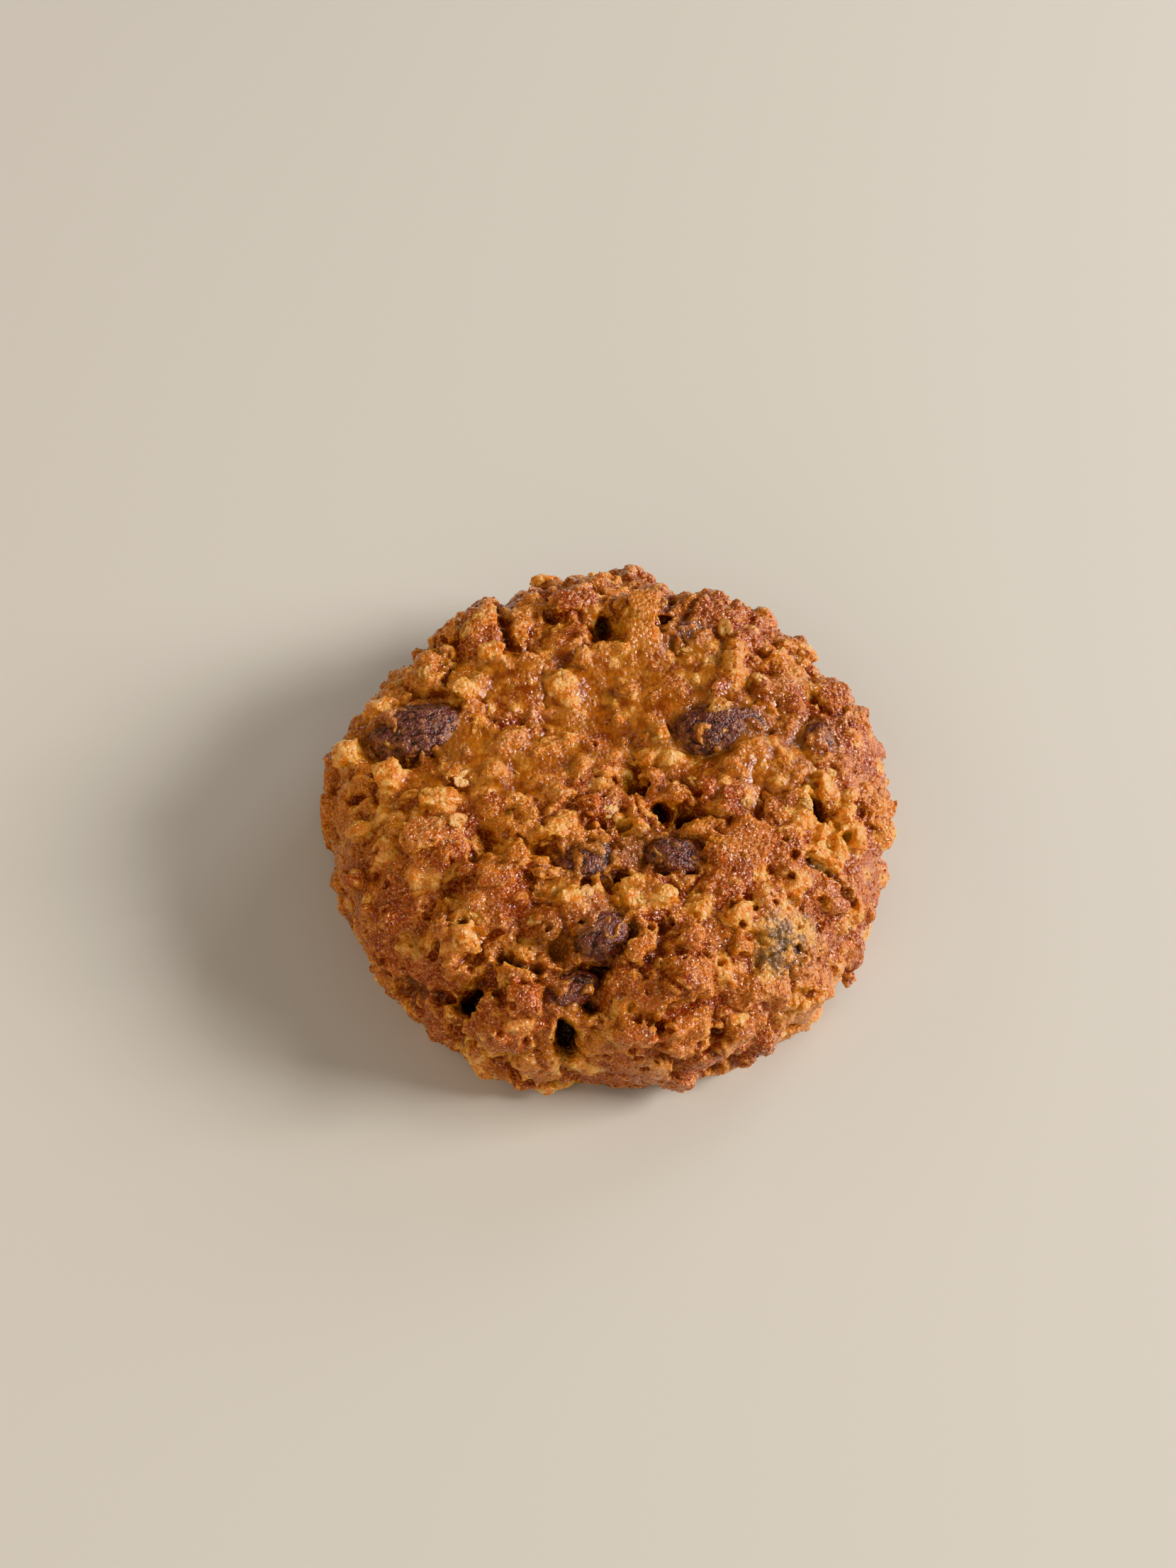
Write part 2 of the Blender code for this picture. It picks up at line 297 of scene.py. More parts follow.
# Single nuggets that stand out: x, y, half length, half width, turn, how pale (0 crumb, 1 bare oat)
NUGGETS = [
    (-29.5, -2.2, 3.1, 2.5, -40, 1.0), (-16.8, 24.0, 3.0, 2.6, 10, 0.65), (-16.0, 18.2, 2.4, 1.7, 15, 0.7),
    (-3.6, 17.6, 2.0, 1.8, 0, 0.5), (-6.4, 13.4, 2.5, 2.0, 30, 0.9), (-5.2, 10.8, 2.0, 1.4, -20, 0.8),
    (17.4, 17.6, 2.4, 3.2, -10, 0.5), (-13.4, 3.0, 2.8, 2.0, 20, 0.45), (-15.4, -1.6, 2.5, 1.8, 0, 0.6),
    (-3.4, 4.8, 1.6, 1.6, 0, 0.4), (7.4, 5.0, 1.3, 1.7, 10, 0.7), (5.2, 1.6, 1.7, 1.5, 0, 0.7),
    (8.6, 1.0, 2.0, 1.6, 0, 0.8), (13.4, 1.2, 1.3, 1.0, 0, 0.95), (15.2, 8.6, 1.7, 2.0, 10, 0.85),
    (20.6, 8.8, 1.4, 1.9, -15, 0.95), (22.0, 3.2, 2.0, 1.6, 30, 0.6), (23.8, 1.4, 1.7, 1.4, 0, 0.7),
    (18.4, -5.6, 1.0, 1.2, 0, 0.95), (-35.0, 3.2, 2.6, 2.6, 0, 0.8), (-31.6, 10.8, 2.4, 2.2, 30, 0.7),
    (-22.4, -6.2, 3.4, 1.8, 15, 0.75), (-24.2, -12.0, 3.6, 3.0, 20, 0.5), (-33.0, -8.6, 2.4, 1.8, 0, 0.6),
    (-7.0, -11.4, 1.9, 2.0, 0, 0.9), (-12.4, -6.2, 1.5, 1.6, 0, 0.8), (-16.2, -8.4, 1.4, 1.6, 0, 0.6),
    (-6.6, -5.2, 2.6, 1.9, -10, 0.5), (-2.6, -7.0, 2.4, 2.0, 0, 0.15), (3.2, -6.4, 1.8, 2.0, 30, 0.3),
    (9.2, -5.0, 1.9, 1.7, 0, 0.2), (13.0, -4.2, 1.6, 2.0, 0, 0.1), (-8.8, -17.0, 2.6, 2.2, 10, 0.45),
    (-15.0, -18.8, 2.8, 2.4, 0, 0.4), (-5.2, -21.6, 2.0, 1.7, 0, 0.8), (3.4, -18.6, 1.8, 1.6, 0, 0.95),
    (2.4, -21.4, 2.0, 1.6, -20, 0.8), (7.2, -21.4, 2.0, 1.7, 0, 0.85), (11.6, -22.6, 1.8, 1.2, 20, 0.9),
    (10.4, -27.0, 2.2, 2.4, 0, 0.1), (3.4, -29.4, 2.6, 2.0, 10, 0.3), (10.0, -32.0, 4.2, 3.4, 10, 0.3),
    (-10.8, -34.0, 3.2, 2.8, 10, 0.15), (-11.6, -36.8, 2.4, 1.4, 0, 0.6), (3.4, -37.4, 3.2, 2.4, 0, 0.35),
    (-20.0, -29.4, 2.2, 1.6, 30, 0.4), (-26.0, -25.6, 2.0, 1.4, -20, 0.6), (5.6, 26.2, 3.4, 3.0, 40, 0.4),
    (1.6, 27.4, 2.4, 2.2, 0, 0.3), (-6.0, 26.6, 2.8, 2.4, 0, 0.3), (12.6, 28.0, 2.6, 2.4, 0, 0.2),
    (23.0, 19.4, 2.4, 2.0, 0, 0.45), (28.2, 13.8, 2.2, 1.6, 20, 0.6), (31.4, 1.2, 2.0, 1.6, 0, 0.2),
    (32.4, -4.2, 1.5, 1.9, 0, 0.7), (-25.0, 17.6, 2.6, 2.0, 20, 0.3), (-21.4, 12.8, 2.0, 2.0, 0, 0.3),
    (27.4, -24.6, 2.2, 1.6, -40, 0.7), (24.6, -31.0, 2.0, 1.6, -30, 0.8), (30.6, -20.4, 2.0, 1.4, -50, 0.6),
    (17.0, -27.0, 2.0, 1.8, 0, 0.2), (-33.6, -14.4, 2.4, 2.0, 0, 0.2), (-7.6, -26.0, 2.0, 1.6, 30, 0.3),
    (-19.7, 11.9, 2.6, 2.0, -20, 0.95), (35.0, -1.0, 1.8, 1.5, 40, 0.5), (33.0, -9.0, 1.6, 2.6, 20, 1.0),
    (30.5, -12.4, 1.5, 2.6, -10, 1.0), (25.6, -7.8, 1.4, 2.8, -20, 1.0), (14.6, -30.0, 1.3, 2.2, 20, 0.7),
    (27.0, -12.8, 1.8, 1.3, 30, 1.0), (31.6, -6.2, 1.7, 1.3, 0, 1.0), (26.2, -4.8, 1.8, 1.4, 20, 0.9),
    (28.0, -10.6, 1.1, 2.6, -10, 1.0), (30.6, -8.4, 1.0, 2.2, -25, 1.0), (29.0, -13.6, 2.4, 1.0, 20, 1.0),
]

# %% [markdown]
# ## The dough under the crumbs
# The dough's CAD solid has the cookie's true outline, sunken middle and raisin pockets, but its faces
# are large. A copy of it is merged to one closed skin, given small even faces, and drawn in by about
# the height of the crumbs that will grow on it, so that the finished crust ends where the solid's
# surface is. Starting from the solid, and not from a new shape, is what keeps the true size.

# %% The core
CORE_VOXEL = 0.6
CRUMB_ALLOWANCE = 0.75  # how far the core is drawn in
BASE_FEATHER = 1.5      # height above the base over which relief fades in


def closed_copy(node, name):
    """A copy of a CAD node's mesh with its loose triangles merged to one skin."""
    copy = new_object(name, frame["nodes"][node].data.copy())
    work = bmesh.new()
    work.from_mesh(copy.data)
    bmesh.ops.remove_doubles(work, verts=work.verts, dist=1e-6)
    work.to_mesh(copy.data)
    work.free()
    return copy


def remeshed(thing, voxel):
    """Even faces of a size in mm over everything that an object's closed parts enclose."""
    modifier = thing.modifiers.new("even faces", "REMESH")
    modifier.mode = "VOXEL"
    modifier.voxel_size = voxel * MM
    return apply_modifiers(thing)


core = remeshed(closed_copy("cookie", "core"), CORE_VOXEL)
core_points = smoothed(core.data, points_of(core.data), 2)
core_normals = smoothed(core.data, normals_of(core.data), 3)

# %% [markdown]
# Dropped from a spoon and pressed by hand, the dough breaks into clumps of five to eight millimetres.
# Sculpting them one by one would take hours, and plain noise gives waves, not clumps. So each clump is
# a cell round its own centre: a low dome, a little higher or lower than its neighbours, with a crevice
# where two cells meet. Noise bends the cells so that no crevice runs straight.

# %% Clumps as cells
CLUMP_SPACING = 6.0     # between neighbouring centres
CLUMP_RADIUS = 4.2
CLUMP_DOME = 1.2        # height of a clump's middle over its edge
CLUMP_BEND = 2.6        # how far noise bends the cells
CREVICE_WIDTH = 0.5
DARTS = 9000


def clump_centres(points, spacing, seed):
    """Centres spread over the surface no closer than a spacing, by throwing darts."""
    rng = np.random.default_rng(seed)
    kept = []
    for index in rng.permutation(len(points))[:DARTS]:
        if all(np.sum((points[index] - other) ** 2) > spacing**2 for other in kept):
            kept.append(points[index])
    return np.array(kept)


centres = clump_centres(core_points, CLUMP_SPACING, 5)
levels = np.random.default_rng(6).uniform(-0.7, 0.6, len(centres))
tones = np.random.default_rng(7).uniform(0.0, 1.0, len(centres))
cells = KDTree(len(centres))
for index, centre in enumerate(centres):
    cells.insert(Vector(centre), index)
cells.balance()


def clump_cells(points):
    """For each point: how high its clump lifts it, how far the next clump is, and its clump's tone."""
    bend = np.stack([field(points, 3.4, 10 + axis) for axis in range(3)], axis=1)
    bend += 0.4 * np.stack([field(points, 1.3, 20 + axis) for axis in range(3)], axis=1)
    lift = np.empty(len(points))
    edge = np.empty(len(points))
    tone = np.empty(len(points))
    for row, point in enumerate(points + CLUMP_BEND * bend):
        (_, own, near), (_, _, other) = cells.find_n(Vector(point), 2)
        edge[row] = 0.5 * (other - near)
        tone[row] = tones[own]
        lift[row] = levels[own] * min(1.0, edge[row] / CREVICE_WIDTH)
        lift[row] += CLUMP_DOME * (1.0 - (near / CLUMP_RADIUS) ** 2)
    return lift, edge, tone


lift, edge, _ = clump_cells(core_points)
calm = np.maximum(0.75 * soft_discs(core_points, SMOOTH), 0.65 * soft_discs(core_points, CARAMEL))
above_base = rising(core_points[:, 2], 0.0, BASE_FEATHER)
core_points = core_points + core_normals * (((1.0 - calm) * lift - CRUMB_ALLOWANCE) * above_base)[:, None]
core_points[:, 2] = np.maximum(core_points[:, 2], 0.0)
move_points(core.data, core_points)
core_normals = normals_of(core.data)
upright = rising(core_normals[:, 2], -0.75, 0.3) * above_base
nugget_spots = [(x, y, 0.9 * max(long, wide)) for x, y, long, wide, _, _ in NUGGETS]
bare = 1.0 - soft_discs(core_points, nugget_spots)
paint(core.data, "craggy", upright * (1.0 - calm) * bare)
paint(core.data, "pooled", upright * soft_discs(core_points, CARAMEL) * bare)
paint(core.data, "anywhere", upright * (1.0 - 0.3 * calm) * bare)
print("core:", len(core.data.polygons), "faces,", len(centres), "clumps")

# %% [markdown]
# ## Crumbs, clumps and oats as shapes
# A crumb is a lump with broken, flat sides: a small sphere is pushed about by noise and then
# clipped by a few random planes. A rolled oat is a groat that was flattened between rollers: a thin
# oval, cupped a little, with a split, ragged rim, which is quickest to build ring by ring from its
# formula. Each shape has a few variants, which scattering turns and scales at random, so a handful of
# them looks like hundreds.

# %% The shapes


def lump_mesh(name, seed, flat=0.8, long=1.0, rough=0.4, facets=1, levels=2):
    """A crumb of radius 1 mm: a sphere pushed about by noise, with some flat breaks."""
    shape = bmesh.new()
    bmesh.ops.create_icosphere(shape, subdivisions=levels, radius=1.0)
    rng = np.random.default_rng(seed)
    planes = rng.normal(size=(facets, 3))
    planes /= np.linalg.norm(planes, axis=1)[:, None]
    cuts = rng.uniform(0.6, 0.85, facets)
    shift = Vector((seed, 0, 0))
    for vert in shape.verts:
        bumps = noise.noise(vert.co * 1.7 + shift) + 0.4 * noise.noise(vert.co * 4.3 + shift)
        point = vert.co * (1.0 + rough * bumps)
        for plane, cut in zip(planes, cuts):
            beyond = point.dot(Vector(plane)) - cut
            if beyond > 0.0:
                point = point - Vector(plane) * beyond * 0.8
        vert.co = Vector((point.x * long, point.y / long, point.z * flat)) * MM
    return mesh_of(shape, name)


def oat_mesh(name, seed, thick=0.13, sides=16):
    """A rolled oat of half length 1 mm, with an attribute rim that is 0 in its middle and 1 outside."""
    rng = np.random.default_rng(seed)
    rings = [0.0, 0.3, 0.55, 0.8, 1.0]
    wide = rng.uniform(0.4, 0.7)
    cup = rng.uniform(0.10, 0.28) * rng.choice([-1, 1])
    shape = bmesh.new()
    rim_layer = shape.verts.layers.float.new("rim")
    sheets = []
    for side in (1, -1):
        loops = []
        for ring in rings:
            loop = []
            for k in range(1 if ring == 0.0 else sides):
                turn = 2 * math.pi * k / sides
                x, y = ring * math.cos(turn), ring * wide * math.sin(turn)
                ragged = 1.0 + 0.35 * ring * noise.noise(Vector((2.2 * x, 2.2 * y, 7.0 * seed)))
                groove = -0.10 * math.exp(-((y / 0.12) ** 2)) * (1 - ring**2)
                height = thick * (1.0 - 0.8 * ring**3) + groove
                height += 0.10 * noise.noise(Vector((3.5 * x, 3.5 * y, 3.0 * seed + side)))
                bowl = cup * (x * x + 0.5 * y * y)
                vert = shape.verts.new((x * ragged, y * ragged, bowl + side * max(height, 0.02)))
                vert[rim_layer] = ring
                loop.append(vert)
            loops.append(loop)
        sheets.append(loops)
        for k in range(sides):
            after = (k + 1) % sides
            fan = [loops[0][0], loops[1][k], loops[1][after]]
            shape.faces.new(fan if side > 0 else fan[::-1])
            for inner, outer in zip(loops[1:], loops[2:]):
                quad = [inner[k], outer[k], outer[after], inner[after]]
                shape.faces.new(quad if side > 0 else quad[::-1])
    for k in range(sides):
        after = (k + 1) % sides
        top, bottom = sheets[0][-1], sheets[1][-1]
        shape.faces.new([top[k], bottom[k], bottom[after], top[after]])
    bmesh.ops.scale(shape, verts=shape.verts, vec=(MM, MM, MM))
    bmesh.ops.recalc_face_normals(shape, faces=shape.faces)
    mesh = mesh_of(shape, name)
    mesh.shade_smooth()
    return mesh


def kinds(name, meshes):
    """A collection of shapes for scattering, kept out of the scene."""
    collection = bpy.data.collections.new(name)
    for mesh in meshes:
        collection.objects.link(bpy.data.objects.new(mesh.name, mesh))
    return collection


blocks = kinds("blocks", [lump_mesh(f"block_{k}", k, rough=0.45, facets=4, levels=3) for k in range(6)])
lumps = kinds("lumps", [lump_mesh(f"lump_{k}", 10 + k, facets=2) for k in range(6)])
chips = kinds("chips", [lump_mesh(f"chip_{k}", 20 + k, flat=0.55, long=1.25, rough=0.35) for k in range(5)])
oats = kinds("oats", [oat_mesh(f"oat_{k}", k) for k in range(6)])
grains = kinds("grains", [lump_mesh(f"grain_{k}", 40 + k, levels=1) for k in range(6)])
for collection in (blocks, lumps, chips, oats, grains):
    faces = [len(thing.data.polygons) for thing in collection.objects]
    print(collection.name, "variants:", len(faces), "with", faces[0], "faces each")

# %% [markdown]
# ## Scattering with Geometry Nodes
# Crumbs repeat by the hundred, so one small node tree places them all: it spreads points over a
# surface no closer than a spacing, thins them by a painted attribute, sinks them a little, and sets a
# randomly turned and scaled shape on each. A particle system could do that too, but a tree keeps its
# sizes as named inputs and its seed fixed. A random tint rides along for the materials. The same tree,
# with other values, makes clumps, chips, oats and grains.

# %% The scattering tree
MOST_POINTS = 4e6       # on a square metre, more than the spacing ever leaves
TINT_SEED = 77


def scatter_tree():
    tree = node_group("Scatter on dough", {
        "Surface": "Geometry", "Kinds": "Collection", "Skin": "Material", "Where": "String",
        "Spacing": "Float", "Smallest": "Float", "Largest": "Float", "Tilt": "Float", "Sink": "Float",
        "Seed": "Int"}, "Pieces")
    given = add(tree, "NodeGroupInput").outputs
    where = add(tree, "GeometryNodeInputNamedAttribute", {"Name": given["Where"]}, data_type="FLOAT")
    spread = add(tree, "GeometryNodeDistributePointsOnFaces", {
        "Mesh": given["Surface"], "Distance Min": given["Spacing"], "Density Max": MOST_POINTS,
        "Density Factor": where.outputs["Attribute"], "Seed": given["Seed"]}, distribute_method="POISSON")
    down = add(tree, "ShaderNodeMath", {0: given["Sink"], 1: -1.0}, operation="MULTIPLY")
    sink = add(tree, "ShaderNodeVectorMath", {
        0: spread.outputs["Normal"], "Scale": down.outputs[0]}, operation="SCALE")
    sunk = add(tree, "GeometryNodeSetPosition", {
        "Geometry": spread.outputs["Points"], "Offset": sink.outputs[0]})
    back = add(tree, "ShaderNodeMath", {0: given["Tilt"], 1: -1.0}, operation="MULTIPLY")
    lowest = add(tree, "ShaderNodeCombineXYZ", {0: back.outputs[0], 1: back.outputs[0], 2: 0.0})
    highest = add(tree, "ShaderNodeCombineXYZ", {0: given["Tilt"], 1: given["Tilt"], 2: 2 * math.pi})
    turn = add(tree, "FunctionNodeRandomValue", {
        0: lowest.outputs[0], 1: highest.outputs[0], "Seed": given["Seed"]}, data_type="FLOAT_VECTOR")
    turned = add(tree, "FunctionNodeRotateRotation", {
        0: spread.outputs["Rotation"], 1: turn.outputs[0]}, rotation_space="LOCAL")
    size = add(tree, "FunctionNodeRandomValue", {
        2: given["Smallest"], 3: given["Largest"], "Seed": given["Seed"]}, data_type="FLOAT")
    pick = add(tree, "GeometryNodeCollectionInfo", {"Collection": given["Kinds"], 1: True, 2: True})
    placed = add(tree, "GeometryNodeInstanceOnPoints", {
        "Points": sunk.outputs["Geometry"], "Instance": pick.outputs[0], "Pick Instance": True,
        "Rotation": turned.outputs[0], "Scale": size.outputs[1]})
    lot = add(tree, "FunctionNodeRandomValue", {2: 0.0, 3: 1.0, "Seed": TINT_SEED}, data_type="FLOAT")
    tinted = add(tree, "GeometryNodeStoreNamedAttribute", {
        "Geometry": placed.outputs[0], "Name": "lot", "Value": lot.outputs[1]},
        data_type="FLOAT", domain="INSTANCE")
    real = add(tree, "GeometryNodeRealizeInstances", {0: tinted.outputs[0]})
    skin = add(tree, "GeometryNodeSetMaterial", {"Geometry": real.outputs[0], "Material": given["Skin"]})
    add(tree, "NodeGroupOutput", {0: skin.outputs[0]})
    return tree


SCATTER = scatter_tree()
print("scattering tree:", len(SCATTER.nodes), "nodes")


def scatter(name, surface, **values):
    """Run the scattering tree on a copy of a surface, so that its pieces take the surface's place."""
    return grow(new_object(name, surface.data.copy()), SCATTER, values)


# %% [markdown]
# ## What grows on the dough
# Some shapes are set one by one where a line straight down meets the dough, and the crust's paint later
# asks how far a raisin is. Both need a quick search over many faces, which is what a BVH tree gives.

# %% Surfaces to search
raisin_nodes = sorted(name for name in frame["nodes"] if name.startswith("raisin"))


def search_tree(*things):
    """A tree over the faces of some objects, in mm, and those faces."""
    places, faces = [], []
    for thing in things:
        start = len(places)
        places += [Vector(place) for place in points_of(thing.data)]
        faces += [tuple(start + corner for corner in face.vertices) for face in thing.data.polygons]
    return BVHTree.FromPolygons(places, faces), faces


raisin_tree, _ = search_tree(*[frame["nodes"][name] for name in raisin_nodes])
top_tree, _ = search_tree(core, *[frame["nodes"][name] for name in raisin_nodes])
print("raisins in the frame:", len(raisin_nodes))

# %% [markdown]
# Few raisins lie bare: dough creeps over their rims and bakes on as a crumbly film, and one is hidden
# under it altogether. For that each raisin gets a swollen double of dough. Noise makes it thicker than
# the fruit in some places and thinner in others, so that it covers the raisin in patches, and it
# closes the gap round the raisin's pocket. Painting the film on would be easier, but it would have no
# thickness and catch no light.

# %% Films of dough over the raisins
FILM_VOXEL = 0.4
POCKET_GAP = 0.35       # between a raisin and the wall of its pocket
FILM_STEEPNESS = 2.4
THINNEST_FILM = -0.9    # below the raisin's skin, where the fruit lies bare
THICKEST_FILM = 0.65
FILM_TINT = 0.2         # a little paler than plain dough
COVERED = {             # dough over a raisin's top: 0.65 leaves half of it bare, and 1.3 nothing
    "raisin_left": 0.38, "raisin_right": 0.40, "raisin_middle_left": 0.70, "raisin_middle_right": 0.42,
    "raisin_front": 0.56, "raisin_in_crack": 0.72, "raisin_veiled": 1.30, "raisin_edge": 0.60,
    "raisin_back": 0.70,
}


def principal_axes(points):
    """A raisin's own directions as columns, from the one in which it is flattest to its length."""
    spread = points - points.mean(0)
    _, axes = np.linalg.eigh(spread.T @ spread)
    return axes


def way_out(points):
    """The direction out of a raisin's pocket, which is the upper of its two flat sides."""
    flattest = principal_axes(points)[:, 0]
    return flattest * (1.0 if flattest[2] > 0.0 else -1.0)


def dough_film(node, seed):
    """A raisin's swollen double, thick where dough covers the fruit and thin where it lies bare."""
    film = remeshed(closed_copy(node, node + "_film"), FILM_VOXEL)
    points = smoothed(film.data, points_of(film.data), 3)
    move_points(film.data, points)
    normals = normals_of(film.data)
    facing = normals @ way_out(points)
    patches = 0.9 * field(points, 2.6, 30 + seed) + 0.9 * field(points, 1.2, 50 + seed)
    thick = FILM_STEEPNESS * (patches + 1.6 * COVERED[node] - 0.55 - 0.5 * facing)
    points = points + normals * (POCKET_GAP + np.clip(thick, THINNEST_FILM, THICKEST_FILM))[:, None]
    move_points(film.data, points)
    paint(film.data, "tint", np.full(len(points), FILM_TINT))
    return film


# %% [markdown]
# The nuggets of the map are the large pale clusters of oats that catch the eye. Scattering can't put
# them in their places, so each is set one by one where a line straight down meets dough or fruit, and
# leans with the slope there. It is a huddle of lumps, so that its outline is broken.

# %% Nuggets one by one
NUGGET_RISE = 0.5
NUGGET_PARTS = 5
HIGH_ABOVE = 60.0       # where the line down starts
UP = Vector((0.0, 0.0, 1.0))
DOWN = Vector((0.0, 0.0, -1.0))


def nugget(index, x, y, long, wide, turn, pale):
    """One large lump with four small ones round it, on the dough or on a raisin."""
    place, normal, _, _ = top_tree.ray_cast(Vector((x, y, HIGH_ABOVE)), DOWN)
    rng = np.random.default_rng(index)
    huddle = bmesh.new()
    for part in range(NUGGET_PARTS):
        angle = 1.6 * part + rng.uniform(0.0, 1.0)
        out = 0.0 if part == 0 else rng.uniform(0.5, 0.65)
        scale = 0.8 if part == 0 else rng.uniform(0.35, 0.5)
        seed = 60 + NUGGET_PARTS * index + part
        lump = lump_mesh("part of a nugget", seed, flat=0.9, facets=3, levels=3)
        shift = Vector((out * math.cos(angle), out * math.sin(angle), rng.uniform(0.0, 0.3))) * MM
        lump.transform(Matrix.Translation(shift) @ Matrix.Scale(scale, 4))
        huddle.from_mesh(lump)
        bpy.data.meshes.remove(lump)
    mesh = mesh_of(huddle, f"nugget_{index}")
    lean = UP.rotation_difference(normal.lerp(UP, 0.3)).to_matrix().to_4x4()
    spin = Matrix.Rotation(math.radians(turn), 4, "Z")
    size = Matrix.Diagonal((long, wide, 0.5 * (long + wide) * 0.8, 1.0))
    place += normal * min(NUGGET_RISE, 0.3 * wide - 0.3)
    mesh.transform(Matrix.Translation(place * MM) @ lean @ spin @ size)
    paint(mesh, "tint", np.full(len(mesh.vertices), pale))
    return new_object(mesh.name, mesh)


# %% [markdown]
# Three generations of shapes grow on the core: coarse clumps, flat chips that are oats drowned in
# dough, and small crumbs. Bits of oat stand in the sunken middle, where they break through the sugar.
# Together with the nuggets and the films they make one heap.

# %% Everything that grows on the core
BIT_TINT = 0.35
grown = [
    scatter("clumps", core, Kinds=blocks, Where="craggy", Spacing=3.8 * MM, Smallest=1.4, Largest=2.7,
            Tilt=0.9, Sink=1.05 * MM, Seed=3),
    scatter("chips", core, Kinds=chips, Where="craggy", Spacing=4.6 * MM, Smallest=1.3, Largest=2.2,
            Tilt=0.35, Sink=0.15 * MM, Seed=11),
    scatter("crumbs", core, Kinds=lumps, Where="anywhere", Spacing=2.1 * MM, Smallest=0.45, Largest=0.9,
            Tilt=1.5, Sink=0.15 * MM, Seed=23),
]
bits = scatter("oat_bits", core, Kinds=chips, Where="pooled", Spacing=2.5 * MM, Smallest=0.5, Largest=1.3,
               Tilt=0.5, Sink=-0.2 * MM, Seed=29)
paint(bits.data, "tint", np.full(len(bits.data.vertices), BIT_TINT))
grown += [bits]
grown += [nugget(index, *values) for index, values in enumerate(NUGGETS)]
grown += [dough_film(node, seed) for seed, node in enumerate(raisin_nodes)]
clumps = merged("clumps", grown)
print("grown on the core:", len(clumps.data.polygons), "faces")

# %% [markdown]
# ## One skin
# Crumbs bake into the dough, so the heap becomes one closed skin. A boolean union of thousands of
# shapes would be slow and fragile; a voxel remesh keeps only the outside of everything that overlaps.
# It forgets the attributes, so the tint of the nearest crumb is read back onto it later.

# %% Fusing the heap
SKIN_VOXEL = 0.30
clump_tints = painted(clumps.data, "tint") + 0.85 * painted(clumps.data, "lot") ** 2
clump_tree, clump_faces = search_tree(clumps)
skin = remeshed(merged("cookie_crust", [core, clumps]), SKIN_VOXEL)
mesh = skin.data
points = smoothed(mesh, points_of(mesh), 4)
points[:, 2] = np.maximum(points[:, 2], 0.0)
move_points(mesh, points)
print("skin:", len(mesh.polygons), "quads")

# %% [markdown]
# ## Carving
# A cookie cracks while it spreads in the oven, because its top has set before its middle. Cracks and
# holes are carved inwards along the broad slope of the crust, not straight down, so the ones on the
# front edge go into the cookie. Moving the vertices keeps the skin closed, which cutting it with other
# shapes might not.

# %% Carving the skin
BROAD_ROUNDS = 60       # of smoothing, which leave only the broad slope
CRACK_WIDTH = 0.6
CRACK_DEPTH = 1.5
SEAM_WIDTH = 0.4        # seams are the crevices between clumps
SEAM_DEPTH = 1.0


def distance_to_path(points, path):
    """Distance from each point, seen from above, to a chain of straight stretches."""
    best = np.full(len(points), 1e9)
    for (ax, ay), (bx, by) in zip(path, path[1:]):
        span = np.array([bx - ax, by - ay], float)
        away = points[:, :2] - np.array([ax, ay], float)
        along = np.clip(away @ span / (span @ span), 0.0, 1.0)
        best = np.minimum(best, np.hypot(*(away - along[:, None] * span).T))
    return best


def broad_slope(mesh):
    """The direction out of the crust at each vertex, without its clumps and crumbs."""
    slope = smoothed(mesh, normals_of(mesh), BROAD_ROUNDS)
    return slope / (np.linalg.norm(slope, axis=1)[:, None] + 1e-9)


broad = broad_slope(mesh)
on_top = rising(broad[:, 2], -0.2, 0.3)
wander = field(points, 1.6, 1)
depth = np.zeros(len(points))
for x, y, long, wide, turn, deep in HOLES:
    away = points[:, :2] - (x, y)
    cos, sin = math.cos(math.radians(turn)), math.sin(math.radians(turn))
    across = np.hypot((away @ (cos, sin)) / long, (away @ (-sin, cos)) / wide) * (1.0 + 0.3 * wander)
    depth = np.maximum(depth, deep * np.exp(-(across**3)))
for path in CRACKS:
    opening = fading(distance_to_path(points, path), CRACK_WIDTH * (1.0 + 0.7 * wander))
    depth = np.maximum(depth, CRACK_DEPTH * (1.0 + 0.8 * wander) * opening)
depth *= on_top
_, edge, tone = clump_cells(points)
paint(mesh, "tone", np.maximum(tone, 1.2 * soft_discs(points, GOLDEN)))
calm = np.maximum(0.8 * soft_discs(points, SMOOTH), 0.8 * soft_discs(points, CARAMEL))
open_seam = np.clip(0.6 + 1.6 * field(points, 7.0, 3), 0.0, 1.0)
open_seam = open_seam * (1.0 - calm) * rising(points[:, 2], 0.0, 2.0)
depth = np.maximum(depth, SEAM_DEPTH * open_seam * fading(edge, SEAM_WIDTH))
points -= broad * depth[:, None]
worn = smoothed(mesh, rising(depth, 0.0, 0.8)[:, None], 3)
points += worn * (smoothed(mesh, points, 5) - points)
move_points(mesh, points)
print("deepest hole:", round(depth.max(), 1), "mm")

# %% [markdown]
# The sunken middle stays wet: melted sugar settles there and sets like glass between the oats. Whatever
# lies below a level just under the tops of the oats is lifted to it, as a flood would fill it. The
# level follows a heavily smoothed copy of the skin, so the pools lie with the crust's slope.

# %% The caramel
POOL_ROUNDS = 120       # of smoothing, for the level that the pools follow
POOL_LEVEL = 0.15       # over that level
level = smoothed(mesh, points, POOL_ROUNDS)
above = np.einsum("ij,ij->i", points - level, broad)
caramel = soft_discs(points, CARAMEL) * on_top
flood = np.maximum(POOL_LEVEL + 0.15 * field(points, 5.0, 2) - above, 0.0) * caramel
flood *= np.clip(1.0 - depth / 0.5, 0.0, 1.0)
points += broad * flood[:, None]
wet = rising(flood, 0.0, 0.12)
move_points(mesh, points)
print("wet vertices:", int((wet > 0.5).sum()))

